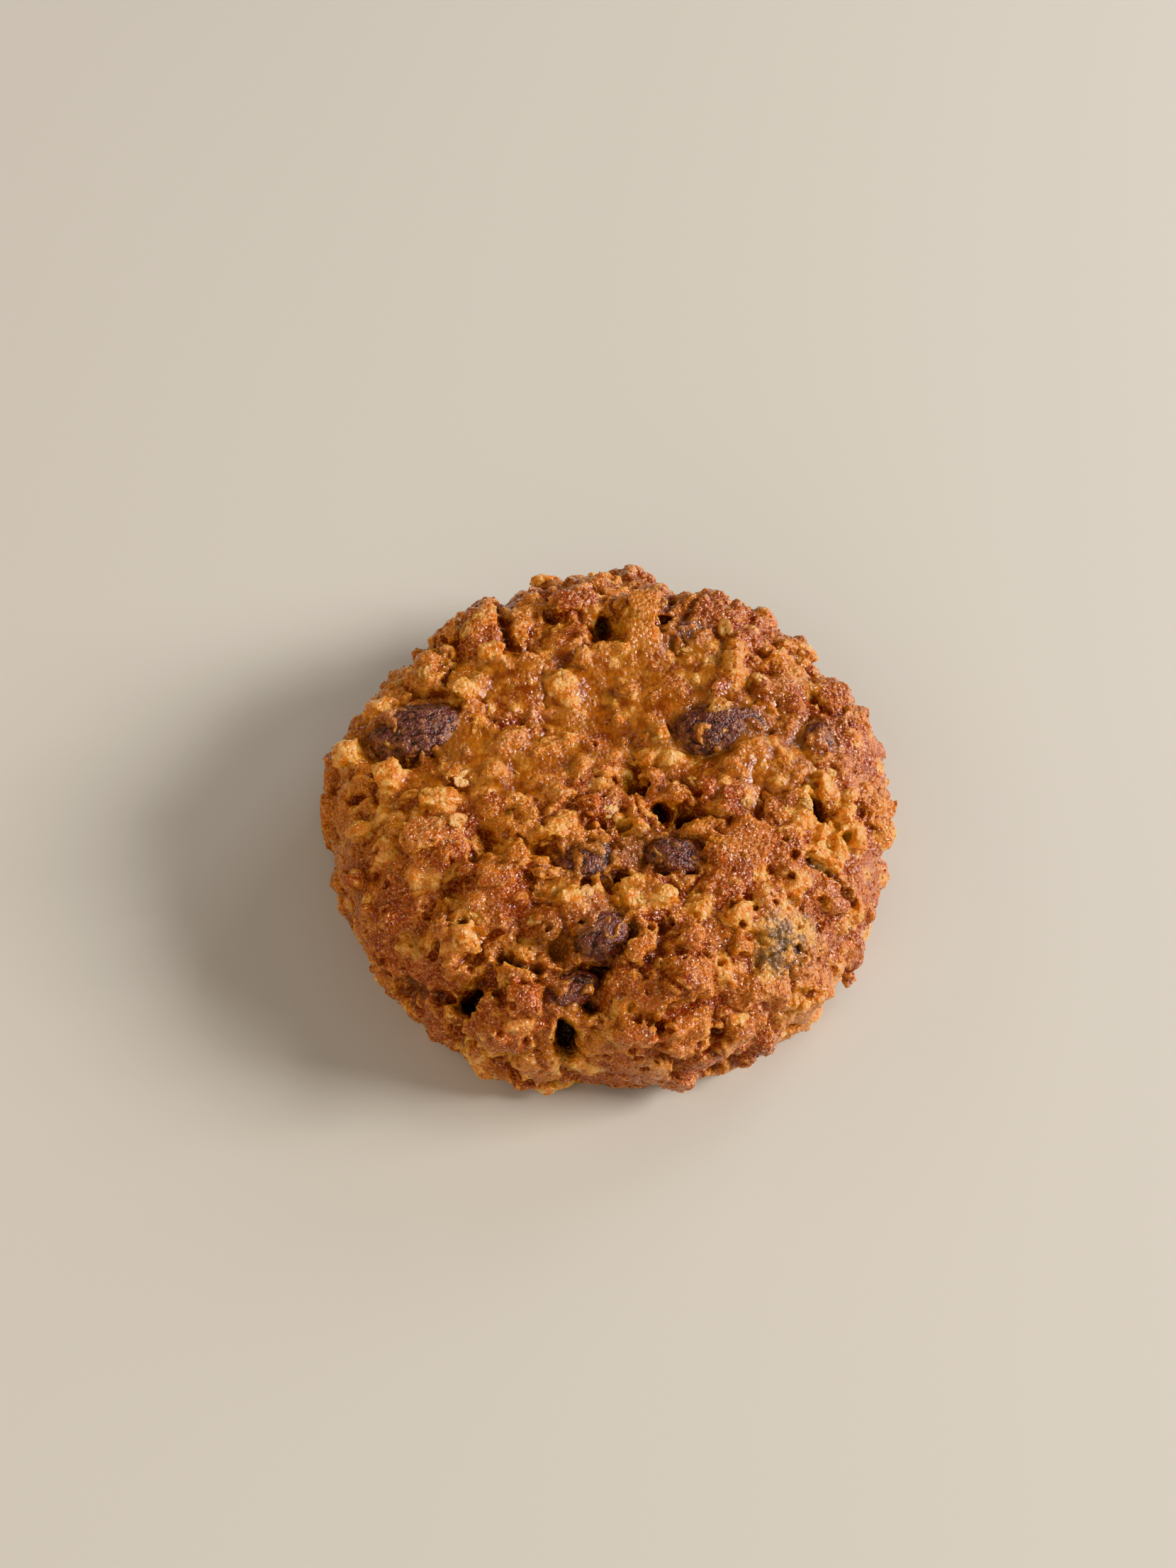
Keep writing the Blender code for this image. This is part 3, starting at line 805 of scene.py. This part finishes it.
# %% [markdown]
# ## The crumb of the crust
# Baked dough is porous: bubbles burst at the surface and leave pits, and sugar and flour set in fine
# grains. A bump map would shade them but leave the outline smooth, so a second node tree pushes the
# skin in and out. Three sizes of billows, which are the absolute value of noise, give round swellings
# with sharp valleys between them. Sparse burst bubbles are the middles of bent Voronoi cells. Painted
# attributes say where the crust is dry or porous.

# %% The crust tree


def crust_tree():
    textures = ("Clod", "Crumb", "Grain")
    sizes = [f"{texture} {what}" for texture in textures for what in ("size", "height")]
    sizes += ["Bubble spacing", "Bubble depth"]
    tree = node_group("Baked crust", {"Skin": "Geometry", **{size: "Float" for size in sizes}}, "Skin")
    given = add(tree, "NodeGroupInput").outputs
    place = add(tree, "GeometryNodeInputPosition").outputs[0]
    normal = add(tree, "GeometryNodeInputNormal").outputs[0]
    dry, porous = (add(tree, "GeometryNodeInputNamedAttribute", {"Name": name}, data_type="FLOAT").outputs[0]
                   for name in ("dry", "porous"))

    relief = None
    for texture in textures:
        scale = add(tree, "ShaderNodeMath", {0: 1.0, 1: given[texture + " size"]}, operation="DIVIDE")
        cloud = add(tree, "ShaderNodeTexNoise", {"Vector": place, "Scale": scale.outputs[0], "Detail": 1.5})
        billow = cloud.outputs["Fac"]
        for how, other in (("SUBTRACT", 0.5), ("ABSOLUTE", 0.0), ("MULTIPLY", 4.0), ("SUBTRACT", 0.4),
                           ("MULTIPLY", given[texture + " height"])):
            billow = add(tree, "ShaderNodeMath", {0: billow, 1: other}, operation=how).outputs[0]
        if relief is not None:
            billow = add(tree, "ShaderNodeMath", {0: relief, 1: billow}, operation="ADD").outputs[0]
        relief = billow
    relief = add(tree, "ShaderNodeMath", {0: relief, 1: dry}, operation="MULTIPLY").outputs[0]

    warp = add(tree, "ShaderNodeTexNoise", {"Vector": place, "Scale": 0.9 / MM, "Detail": 1.0})
    shift = add(tree, "ShaderNodeVectorMath", {0: warp.outputs["Color"], "Scale": 1.2 * MM},
                operation="SCALE")
    bent = add(tree, "ShaderNodeVectorMath", {0: place, 1: shift.outputs[0]}, operation="ADD")
    scale = add(tree, "ShaderNodeMath", {0: 1.0, 1: given["Bubble spacing"]}, operation="DIVIDE")
    bubbles = add(tree, "ShaderNodeTexVoronoi", {"Vector": bent.outputs[0], "Scale": scale.outputs[0]})
    pit = add(tree, "ShaderNodeMapRange", {
        "Value": bubbles.outputs["Distance"], "From Min": 0.15, "From Max": 0.30, "To Min": 1.0,
        "To Max": 0.0}, interpolation_type="SMOOTHSTEP").outputs[0]
    for share in (given["Bubble depth"], porous):
        pit = add(tree, "ShaderNodeMath", {0: pit, 1: share}, operation="MULTIPLY").outputs[0]

    push = add(tree, "ShaderNodeMath", {0: relief, 1: pit}, operation="SUBTRACT").outputs[0]
    offset = add(tree, "ShaderNodeVectorMath", {0: normal, "Scale": push}, operation="SCALE").outputs[0]
    moved = add(tree, "GeometryNodeSetPosition", {"Geometry": given["Skin"], "Offset": offset})
    add(tree, "NodeGroupOutput", {0: moved.outputs[0]})
    return tree


CRUST = crust_tree()
toasted = soft_discs(points, TOASTED)
clear_of_base = np.clip(points[:, 2], 0.15, 1.0)    # so that the lowest millimetre stays calm
paint(mesh, "dry", (1.0 - wet) * (1.0 - 0.45 * soft_discs(points, SMOOTH)) * clear_of_base)
paint(mesh, "porous", np.clip(toasted + 0.15, 0.0, 1.0) * (1.0 - wet))
grow(skin, CRUST, {
    "Clod size": 3.0 * MM, "Clod height": 0.26 * MM, "Crumb size": 1.5 * MM, "Crumb height": 0.24 * MM,
    "Grain size": 0.8 * MM, "Grain height": 0.14 * MM, "Bubble spacing": 2.6 * MM, "Bubble depth": 0.8 * MM,
})
mesh = skin.data
points = points_of(mesh)
print("crust tree:", len(CRUST.nodes), "nodes, on", len(points), "vertices")

# %% [markdown]
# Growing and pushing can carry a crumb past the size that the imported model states. Clipping it there
# would leave a flat spot, so what comes near a side or the top of the model's box is drawn in softly,
# the more the further out it is.

# %% Keeping the crust within the solid's box
low, high = (np.array(corner) / MM for corner in cad_box)


def eased(points, room=0.8):
    """Points drawn in softly where they come within a margin of the box's sides or top."""
    for axis in range(3):
        for limit, way in ((high[axis], 1.0), (low[axis], -1.0)):
            if axis == 2 and way < 0:
                continue
            beyond = way * (points[:, axis] - limit) + room
            shrunk = room * (1.0 - np.exp(-np.maximum(beyond, 0.0) / room))
            points[:, axis] = np.where(beyond > 0, limit + way * (shrunk - room), points[:, axis])
    points[:, 2] = np.maximum(points[:, 2], 0.0)
    return points


points = eased(points)
move_points(mesh, points)

# %% [markdown]
# ## Painting the crust
# Heat browns the toasted patches and the rim, and bare oats stay pale. The hollows are painted darker
# and redder as painted shade, and the crests paler as painted highlight. An image could hold those
# colours, but all of them follow from the finished shape, so they are worked out from it: the height of
# each vertex over a smoothed copy of the skin says how proud it is, on a fine and on a broad scale.
# Each result is stored as an attribute that the material reads.

# %% Attributes for the material
FINE_ROUNDS = 10        # of smoothing, for the level that crumbs stand over
CLUMP_ROUNDS = 110      # for the level that clumps stand over
FINE_RANGE = 0.5        # mm from darkest hollow to palest crest
CLUMP_RANGE = 1.6
TINT_REACH = 1.2        # how far a pale crumb's tint reaches
STAIN_REACH = 0.8       # how far a raisin's juice reaches
SHORE = 33.5            # radius outside which no loose oat lies

near_level = smoothed(mesh, points, FINE_ROUNDS)
far_level = smoothed(mesh, near_level, CLUMP_ROUNDS)
broad = broad_slope(mesh)
fine_height = np.einsum("ij,ij->i", points - near_level, broad)
clump_height = np.einsum("ij,ij->i", near_level - far_level, broad)
# The material paints low places darker as painted shade and high ones paler as painted highlight.
paint(mesh, "fine", np.clip(0.5 + fine_height / FINE_RANGE, 0.0, 1.0))
paint(mesh, "proud", np.clip(0.5 + clump_height / CLUMP_RANGE, 0.0, 1.0))
near_tints = np.zeros(len(points))
by_raisin = np.zeros(len(points))
for index, point in enumerate(points):
    _, _, face, far = clump_tree.find_nearest(Vector(point))
    near_tints[index] = clump_tints[clump_faces[face][0]] * math.exp(-((far / TINT_REACH) ** 2))
    by_raisin[index] = raisin_tree.find_nearest(Vector(point))[3]
paint(mesh, "tint", near_tints)
paint(mesh, "stain", np.maximum(fading(by_raisin, STAIN_REACH), soft_discs(points, STAINED)))
paint(mesh, "veil", soft_discs(points, VEILED))
paint(mesh, "wet", smoothed(mesh, wet[:, None], 2)[:, 0])
out = np.hypot(points[:, 0], points[:, 1])
paint(mesh, "toast", np.clip(toasted + 0.35 * rising(out, 30.0, 9.0) * on_top, 0.0, 1.0))
# How deep a spot is carved; the material paints it near black as painted shade in holes and cracks.
paint(mesh, "carved", rising(depth, 0.5, 2.0))
paint(mesh, "base", np.clip(1.0 - points[:, 2] / 1.2, 0.0, 1.0))
high_up = rising(points[:, 2], 0.0, BASE_FEATHER)
uncarved = 1.0 - np.clip(depth, 0.0, 1.0)
inland = np.clip((SHORE - out) / 2.0, 0.0, 1.0) * rising(broad[:, 2], 0.3, 0.2)
paint(mesh, "for_oats", on_top * (1.0 - 0.7 * soft_discs(points, SMOOTH)) * inland * uncarved)
paint(mesh, "for_grains", high_up * (1.0 - wet) * uncarved * (1.0 - fading(by_raisin, 0.3)))
print("mean toast:", round(painted(mesh, "toast").mean(), 2), "mean tint:", round(near_tints.mean(), 2))

# %% [markdown]
# The remesh gave every spot the same small faces, but the flat base and the pools need few. Decimate
# joins faces where that changes the shape least, so they are spent where the crust is rough. It comes
# after the painting, because it carries the attributes along.

# %% Thinning
MOST_TRIANGLES = 195000
modifier = skin.modifiers.new("fewer faces", "DECIMATE")
modifier.ratio = MOST_TRIANGLES / (2 * len(mesh.polygons))
apply_modifiers(skin)
mesh = skin.data
print("crust:", len(points), "vertices, thinned to", len(mesh.polygons), "faces")

# %% [markdown]
# ## Raisins
# A raisin is a dried grape: its skin kept its area while the flesh shrank, so it folded into deep
# ridges that run along the fruit and branch. Cloth on a shrinking body would fold so, slowly and
# hard to steer. Here each CAD raisin is remeshed finely, swollen by most of the gap that its pocket
# leaves, and creased with ridged noise stretched along its length.

# %% The raisins
RAISIN_VOXEL = 0.2
FOLD_SIZE = (2.8, 1.1, 1.1)         # along, across and through the fruit
BRANCHING = (2.0, 2.3, 2.3)         # how much finer the lesser folds are
FOLD_DEPTH, LESSER_DEPTH = 0.22, 0.10
DENT_DEPTH = 0.25
PIMPLE_HEIGHT = 0.14
SWELLING = POCKET_GAP - 0.15


def wrinkled_raisin(node, seed):
    """A raisin's CAD solid, swollen in its pocket and folded along its length."""
    raisin = remeshed(closed_copy(node, node + "_fruit"), RAISIN_VOXEL)
    mesh = raisin.data
    points = smoothed(mesh, points_of(mesh), 8)
    move_points(mesh, points)
    normals = normals_of(mesh)
    own_way = (points - points.mean(0)) @ principal_axes(points)[:, ::-1]
    drift = field(points, 3.0, seed)
    folded = own_way / FOLD_SIZE + drift[:, None] * (0.5, 0.9, 0.7)
    ridges = np.clip(1.0 - 2.4 * np.abs(field(folded, 1.0, 2 * seed)), 0.0, 1.0)
    lesser = np.clip(1.0 - 2.4 * np.abs(field(folded * BRANCHING, 1.0, 3 * seed)), 0.0, 1.0)
    sink = FOLD_DEPTH * ridges**2 + LESSER_DEPTH * lesser**2
    sink = sink - PIMPLE_HEIGHT * field(points, 0.6, seed) - DENT_DEPTH * field(points, 2.4, seed + 9)
    points = points + normals * (SWELLING - sink)[:, None]
    move_points(mesh, eased(points))
    # The folds' mask, which the material darkens as painted shade.
    paint(mesh, "crease", np.maximum(ridges, 0.6 * lesser))
    mesh.shade_smooth()
    return raisin


raisins = {node: wrinkled_raisin(node, seed + 1) for seed, node in enumerate(raisin_nodes)}
print("raisins:", {name: len(thing.data.polygons) for name, thing in raisins.items()})

# %% [markdown]
# ## Materials
# ### Baked oat dough
# Real dough is translucent: light enters the crumb and comes back warm, which softens its shadows. It
# is matt where it is dry and glassy where the sugar melted. A single brown would look like clay, so
# the colour is built up in layers: raw crumb, browning, painted shade in the hollows, crevices, pits
# and carved holes, painted highlight and glints on the crests, bare oats, glaze. Every layer has a
# mask, which is a painted attribute or noise, from the size of sugar grains to that of clumps, eased
# between two of its values.

# %% Masks and layers of colour


def read(tree, source):
    """A painted attribute by its name, or noise by its size in mm, detail and seed, as a socket.

    A socket or a number is passed on as it is.
    """
    if isinstance(source, str):
        return add(tree, "ShaderNodeAttribute", attribute_name=source).outputs["Fac"]
    if isinstance(source, tuple):
        size_mm, detail, seed = source
        place = add(tree, "ShaderNodeTexCoord").outputs["Object"]
        moved = add(tree, "ShaderNodeMapping", {"Vector": place, "Location": (seed, seed, seed)})
        return add(tree, "ShaderNodeTexNoise", {
            "Vector": moved.outputs[0], "Scale": 1.0 / (size_mm * MM), "Detail": detail}).outputs["Fac"]
    return source


def mask(tree, source, low, high, least=0.0, most=1.0):
    """How much something shows, from least where the source is low to most where it is high."""
    return add(tree, "ShaderNodeMapRange", {
        "Value": read(tree, source), "From Min": low, "From Max": high, "To Min": least, "To Max": most},
        interpolation_type="SMOOTHSTEP").outputs[0]


def product(tree, first, second):
    """How much shows where two masks meet."""
    return add(tree, "ShaderNodeMath", {0: read(tree, first), 1: read(tree, second)},
               operation="MULTIPLY", use_clamp=True).outputs[0]


def layered(tree, colour, layers):
    """A colour with others laid over it in turn. Each layer is how much of it shows, and its colour."""
    for amount, over in layers:
        colour = add(tree, "ShaderNodeMix", {0: read(tree, amount), 6: colour, 7: over},
                     data_type="RGBA").outputs[2]
    return colour


def granules(tree, size_mm):
    """Rounded granules of a size in mm: 1 on their tops, 0 between them."""
    place = add(tree, "ShaderNodeTexCoord").outputs["Object"]
    bend = add(tree, "ShaderNodeTexNoise", {"Vector": place, "Scale": 0.8 / (size_mm * MM)})
    shift = add(tree, "ShaderNodeVectorMath", {0: bend.outputs["Color"], "Scale": size_mm * MM},
                operation="SCALE")
    bent = add(tree, "ShaderNodeVectorMath", {0: place, 1: shift.outputs[0]})
    cells = add(tree, "ShaderNodeTexVoronoi", {"Vector": bent.outputs[0], "Scale": 1.0 / (size_mm * MM)})
    return mask(tree, cells.outputs["Distance"], 0.0, 0.9, 1.0, 0.0)


def new_material(name):
    """A material with an empty tree."""
    material = bpy.data.materials.new(name)
    material.use_nodes = True
    material.node_tree.nodes.clear()
    return material, material.node_tree


# %% The dough's material


def dough_colour(tree):
    """Browned crumb, pale oats, glaze, stains round the fruit; painted shade in hollows, painted highlights
    on crests.
    """
    shares = [add(tree, "ShaderNodeMath", {0: read(tree, source), 1: share}, operation="MULTIPLY",
                  use_clamp=True).outputs[0] for source, share in (((3.0, 4.0, 1.0), 0.6), ("tone", 0.4))]
    golden = add(tree, "ShaderNodeMath", {0: shares[0], 1: shares[1]}, operation="ADD", use_clamp=True)
    crumb = layered(tree, "#94380a", [(mask(tree, golden.outputs[0], 0.35, 0.7), "#c67428")])
    browned = layered(tree, "#822604", [(mask(tree, (1.8, 4.0, 2.0), 0.35, 0.65), "#b65418")])
    straw = layered(tree, "#de8228", [(mask(tree, (1.2, 2.0, 3.0), 0.35, 0.65), "#fcc070")])
    glaze = layered(tree, "#702a04", [(mask(tree, (1.8, 4.0, 4.0), 0.35, 0.65), "#a25a18"),
                                      (mask(tree, (2.4, 2.0, 21.0), 0.5, 0.62, 0.0, 0.5), "#c48a48")])
    stained = layered(tree, "#6a3a22", [((1.3, 3.0, 13.0), "#a4703e")])
    veil = layered(tree, "#e4ac64", [(mask(tree, (1.8, 3.0, 17.0), 0.46, 0.58), "#867058")])
    underside = layered(tree, "#8a4a1e", [((2.0, 3.0, 5.0), "#a8662e")])

    toast = product(tree, "toast", mask(tree, (4.0, 2.0, 0.0), 0.3, 0.65, 0.3, 1.0))
    # Painted shade: the hollows between clumps are painted darker and redder.
    hollow_shade = mask(tree, "proud", 0.56, 0.14, 0.0, 0.85)
    # Painted highlight: the crests of the crumbs are painted paler.
    crest_highlight = mask(tree, "fine", 0.6, 0.95, 0.0, 0.55)
    pale = product(tree, mask(tree, "tint", 0.25, 0.85, 0.0, 0.95),
                   mask(tree, (1.8, 4.0, 15.0), 0.32, 0.55, 0.85, 1.0))
    plain = mask(tree, pale, 0.0, 0.8, 1.0, 0.12)
    # Painted shade: the fine crevices between crumbs are painted dark red.
    crevice_shade = product(tree, mask(tree, "fine", 0.48, 0.14, 0.0, 0.85), plain)
    speck = product(tree, mask(tree, (0.36, 2.0, 16.0), 0.48, 0.62, 0.0, 0.30), plain)
    # Painted shade: noise paints tiny dark pits where the skin has none.
    pinhole_shade = product(tree, mask(tree, (0.55, 1.0, 18.0), 0.36, 0.30, 0.0, 0.65), plain)
    # Painted glints: near-white specks on the higher crumbs stand for sparkling sugar.
    painted_glint = product(tree, mask(tree, (0.28, 0.0, 22.0), 0.68, 0.76, 0.0, 0.45), mask(tree, "fine", 0.3, 0.5))
    # The near black over carved holes and cracks is painted shade.
    return layered(tree, crumb, [
        (toast, browned), (hollow_shade, "#701400"), (crest_highlight, "#e0a052"), (pale, straw), (crevice_shade, "#8a1e00"),
        (speck, "#f2b468"), (pinhole_shade, "#6a1c02"), (painted_glint, "#ffdcb8"), (product(tree, "wet", 0.85), glaze),
        (product(tree, "stain", 0.6), stained), (product(tree, "veil", 0.85), veil),
        ("carved", "#1e0801"), ("base", underside)])


def dough_material():
    # Home-baked oat dough: buttery, translucent, granular crumb, glazed by melted sugar in the middle.
    # Its bumps are granules of 0.65 mm and grit of 0.3 mm. The facets of its sugar are too fine to show,
    # so its glints come from a glassy coat whose bumps are drawn as coarse as 0.35 mm, and from painted
    # glints: near-white specks on the higher crumbs.
    material, tree = new_material("Baked oat dough, home-baked")
    crumbly = add(tree, "ShaderNodeBump", {
        "Height": granules(tree, 0.65), "Distance": 0.3 * MM,
        "Strength": mask(tree, "wet", 0.2, 0.9, 0.9, 0.4)})
    gritty = add(tree, "ShaderNodeBump", {
        "Height": read(tree, (0.3, 2.0, 6.0)), "Distance": 0.3 * MM,
        "Strength": mask(tree, "wet", 0.2, 0.9, 1.0, 0.35), "Normal": crumbly.outputs[0]})
    glazed = add(tree, "ShaderNodeBump", {
        "Height": read(tree, (0.35, 1.0, 19.0)), "Distance": 0.12 * MM, "Strength": 0.8,
        "Normal": crumbly.outputs[0]})
    shader = add(tree, "ShaderNodeBsdfPrincipled", {
        "Base Color": dough_colour(tree), "Roughness": mask(tree, "wet", 0.2, 0.9, 0.38, 0.2), "IOR": 1.45,
        "Specular IOR Level": 0.3, "Normal": gritty.outputs[0], "Subsurface Weight": 0.55,
        "Subsurface Radius": (1.0, 0.36, 0.12), "Subsurface Scale": 1.5 * MM, "Coat Weight": 1.0,
        "Coat Roughness": 0.06, "Coat Normal": glazed.outputs[0]})
    add(tree, "ShaderNodeOutputMaterial", {"Surface": shader.outputs[0]})
    return material


dough_skin = dough_material()
skin.data.materials.clear()
skin.data.materials.append(dough_skin)
skin.data.shade_smooth()
print("dough material:", len(dough_skin.node_tree.nodes), "nodes")

# %% [markdown]
# ### Raisin skin
# Raisin skin is thin, dark and slightly waxy: reddish purple where the skin is stretched and light
# comes through the flesh, and dusted with dried crumb. The folds are real geometry; the material darkens
# them to almost black-brown as painted shade and adds the finest puckers as bumps.

# %% The raisins' material


def raisin_material():
    # Sun-dried grape skin: dark purple-brown, waxy sheen on the ridges, with painted shade in the creases.
    material, tree = new_material("Sun-dried raisin skin")
    # The creases are darkened to almost black as painted shade.
    colour = layered(tree, "#522420", [
        ((2.0, 2.0, 8.0), "#7c4640"), (mask(tree, "crease", 0.4, 1.0), "#2a0f09"),
        (mask(tree, (1.0, 4.0, 14.0), 0.48, 0.66, 0.0, 0.85), "#9a6240")])
    grit = read(tree, (0.3, 3.0, 9.0))
    puckered = add(tree, "ShaderNodeBump", {
        "Height": granules(tree, 0.4), "Distance": 0.2 * MM, "Strength": 0.6})
    gritty = add(tree, "ShaderNodeBump", {
        "Height": grit, "Distance": 0.25 * MM, "Strength": 1.0, "Normal": puckered.outputs[0]})
    shader = add(tree, "ShaderNodeBsdfPrincipled", {
        "Base Color": colour, "Roughness": mask(tree, grit, 0.3, 0.7, 0.28, 0.5), "IOR": 1.45,
        "Normal": gritty.outputs[0], "Subsurface Weight": 0.1, "Subsurface Radius": (1.0, 0.3, 0.2),
        "Subsurface Scale": 1.0 * MM, "Coat Weight": 1.0, "Coat Roughness": 0.15,
        "Coat Normal": gritty.outputs[0]})
    add(tree, "ShaderNodeOutputMaterial", {"Surface": shader.outputs[0]})
    return material


fruit_skin = raisin_material()
for raisin in raisins.values():
    raisin.data.materials.clear()
    raisin.data.materials.append(fruit_skin)
print("raisin material:", len(fruit_skin.node_tree.nodes), "nodes on", len(raisins), "raisins")

# %% [markdown]
# ### Rolled oats
# A toasted oat is pale straw, darker along its thin rim, and lets light through. The loose ones are
# real pieces on the finished skin and not part of it, because a remesh would melt their thin rims.
# Loose grains of crumb and sugar break the light on dry crust. They keep off the pools and the fruit.

# %% Loose oats and grains


def oat_material():
    # Rolled oat: pale, translucent, satin, with a toasted rim.
    material, tree = new_material("Rolled oat, toasted")
    toasted_bran = layered(tree, "#8c4416", [("lot", "#b8702e")])
    colour = layered(tree, "#c47c38", [
        ("lot", "#e8b478"), (mask(tree, (1.2, 4.0, 10.0), 0.48, 0.66), toasted_bran),
        (mask(tree, "rim", 0.6, 1.0, 0.0, 0.7), "#9a5222")])
    grainy = add(tree, "ShaderNodeBump", {
        "Height": granules(tree, 0.6), "Distance": 0.25 * MM, "Strength": 0.8})
    shader = add(tree, "ShaderNodeBsdfPrincipled", {
        "Base Color": colour, "Roughness": 0.42, "IOR": 1.45, "Normal": grainy.outputs[0],
        "Subsurface Weight": 0.25, "Subsurface Radius": (1.0, 0.45, 0.18), "Subsurface Scale": 1.2 * MM})
    add(tree, "ShaderNodeOutputMaterial", {"Surface": shader.outputs[0]})
    return material


loose_oats = scatter("rolled_oats", skin, Kinds=oats, Where="for_oats", Spacing=7.0 * MM, Smallest=1.1,
                     Largest=2.0, Tilt=0.3, Sink=0.1 * MM, Seed=31, Skin=oat_material())
loose_grains = scatter("crumb_grains", skin, Kinds=grains, Where="for_grains", Spacing=0.9 * MM,
                       Smallest=0.12, Largest=0.26, Tilt=3.0, Sink=0.04 * MM, Seed=41, Skin=dough_skin)
for loose in (loose_oats, loose_grains):
    move_points(loose.data, eased(points_of(loose.data), 0.3))
    print(loose.name, len(loose.data.polygons), "faces")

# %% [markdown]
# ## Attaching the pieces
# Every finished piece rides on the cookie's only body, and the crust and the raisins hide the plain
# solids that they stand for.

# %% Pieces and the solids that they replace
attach(skin, "root")
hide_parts("cookie")
for node, raisin in raisins.items():
    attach(raisin, "root")
    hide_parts(node)
for loose, slot in ((loose_oats, "oats"), (loose_grains, "dough")):
    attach(loose, "root")
print("pieces:", 1 + len(raisins) + 2)

# %% [markdown]
# ## Floor, light and camera
# The cookie lies on a plain, pale, honed counter. A large soft window on the right rakes over the
# crumbs and throws a soft shadow to the left, and a weaker one stands far behind the cookie. The pale
# room in front of it and a warm wall on the left fill the shaded side. Area lights are used because
# their soft edges are what a window gives; a sun lamp would cut hard shadows.

# %% The stage


def stage_floor():
    # Honed stone counter: pale, warm, satin, with a blurred reflection.
    work = bmesh.new()
    bmesh.ops.create_grid(work, x_segments=1, y_segments=1, size=3.0)
    floor = new_object("floor", mesh_of(work, "floor"))
    material, tree = new_material("Pale counter, honed")
    shader = add(tree, "ShaderNodeBsdfPrincipled", {"Base Color": "#ccc8bf", "Roughness": 0.45, "IOR": 1.45})
    add(tree, "ShaderNodeOutputMaterial", {"Surface": shader.outputs[0]})
    floor.data.materials.append(material)


def area_light(name, place, aim, size, watts, colour):
    """A soft lamp of a size in metres that faces a point."""
    light = bpy.data.lights.new(name, "AREA")
    light.shape = "RECTANGLE"
    light.size, light.size_y = size
    light.energy = watts
    light.color = linear(colour)[:3]
    lamp = new_object(name, light)
    lamp.location = place
    lamp.rotation_euler = (Vector(aim) - Vector(place)).to_track_quat("-Z", "Y").to_euler()


stage_floor()
area_light("window", (1.45, 0.0, 0.76), (0, 0, 0.01), (0.7, 0.55), 37.5, "#fffaf4")
area_light("far_window", (0.85, 0.95, 0.6), (0, 0, 0.01), (0.6, 0.5), 5.0, "#f2f7ff")
area_light("room", (-0.4, -1.1, 0.8), (0, 0, 0.01), (1.6, 1.4), 7.8, "#fff2e6")
area_light("warm_wall", (-0.75, 0.1, 0.4), (-0.1, 0, 0), (0.8, 0.5), 1.6, "#ffdcb8")
world = bpy.data.worlds.new("soft room")
bpy.context.scene.world = world
world.use_nodes = True
world.node_tree.nodes["Background"].inputs["Color"].default_value = linear("#f4f1ec")
world.node_tree.nodes["Background"].inputs["Strength"].default_value = 0.24

# %% [markdown]
# The view is that of someone who leans over the counter: from well above, through a normal lens, from
# a third of a metre. At that distance the lens matters, because a wider one from nearer would swell
# the front of the cookie.

# %% The camera
ELEVATION = 56.0        # degrees above the horizon
DISTANCE = 0.325        # from the camera to the point it aims at
FOCAL = 54.1            # mm, on a 36 mm sensor along the long side
HIGHER = 3.2            # mm, how far the aim is moved up in the view, over the cookie's middle
climb = math.radians(ELEVATION)
AIM = Vector((-2.7, HIGHER * math.sin(climb), 11.0 + HIGHER * math.cos(climb))) * MM

camera = new_object("camera", bpy.data.cameras.new("camera"))
camera.data.lens = FOCAL
camera.data.sensor_width = 36.0
camera.data.clip_start = 0.01
tilt = math.radians(90.0 - ELEVATION)
camera.rotation_euler = Euler((tilt, 0.0, 0.0))
camera.location = AIM + DISTANCE * Vector((0.0, -math.sin(tilt), math.cos(tilt)))
bpy.context.scene.camera = camera
bpy.context.scene.view_settings.view_transform = "Khronos PBR Neutral"
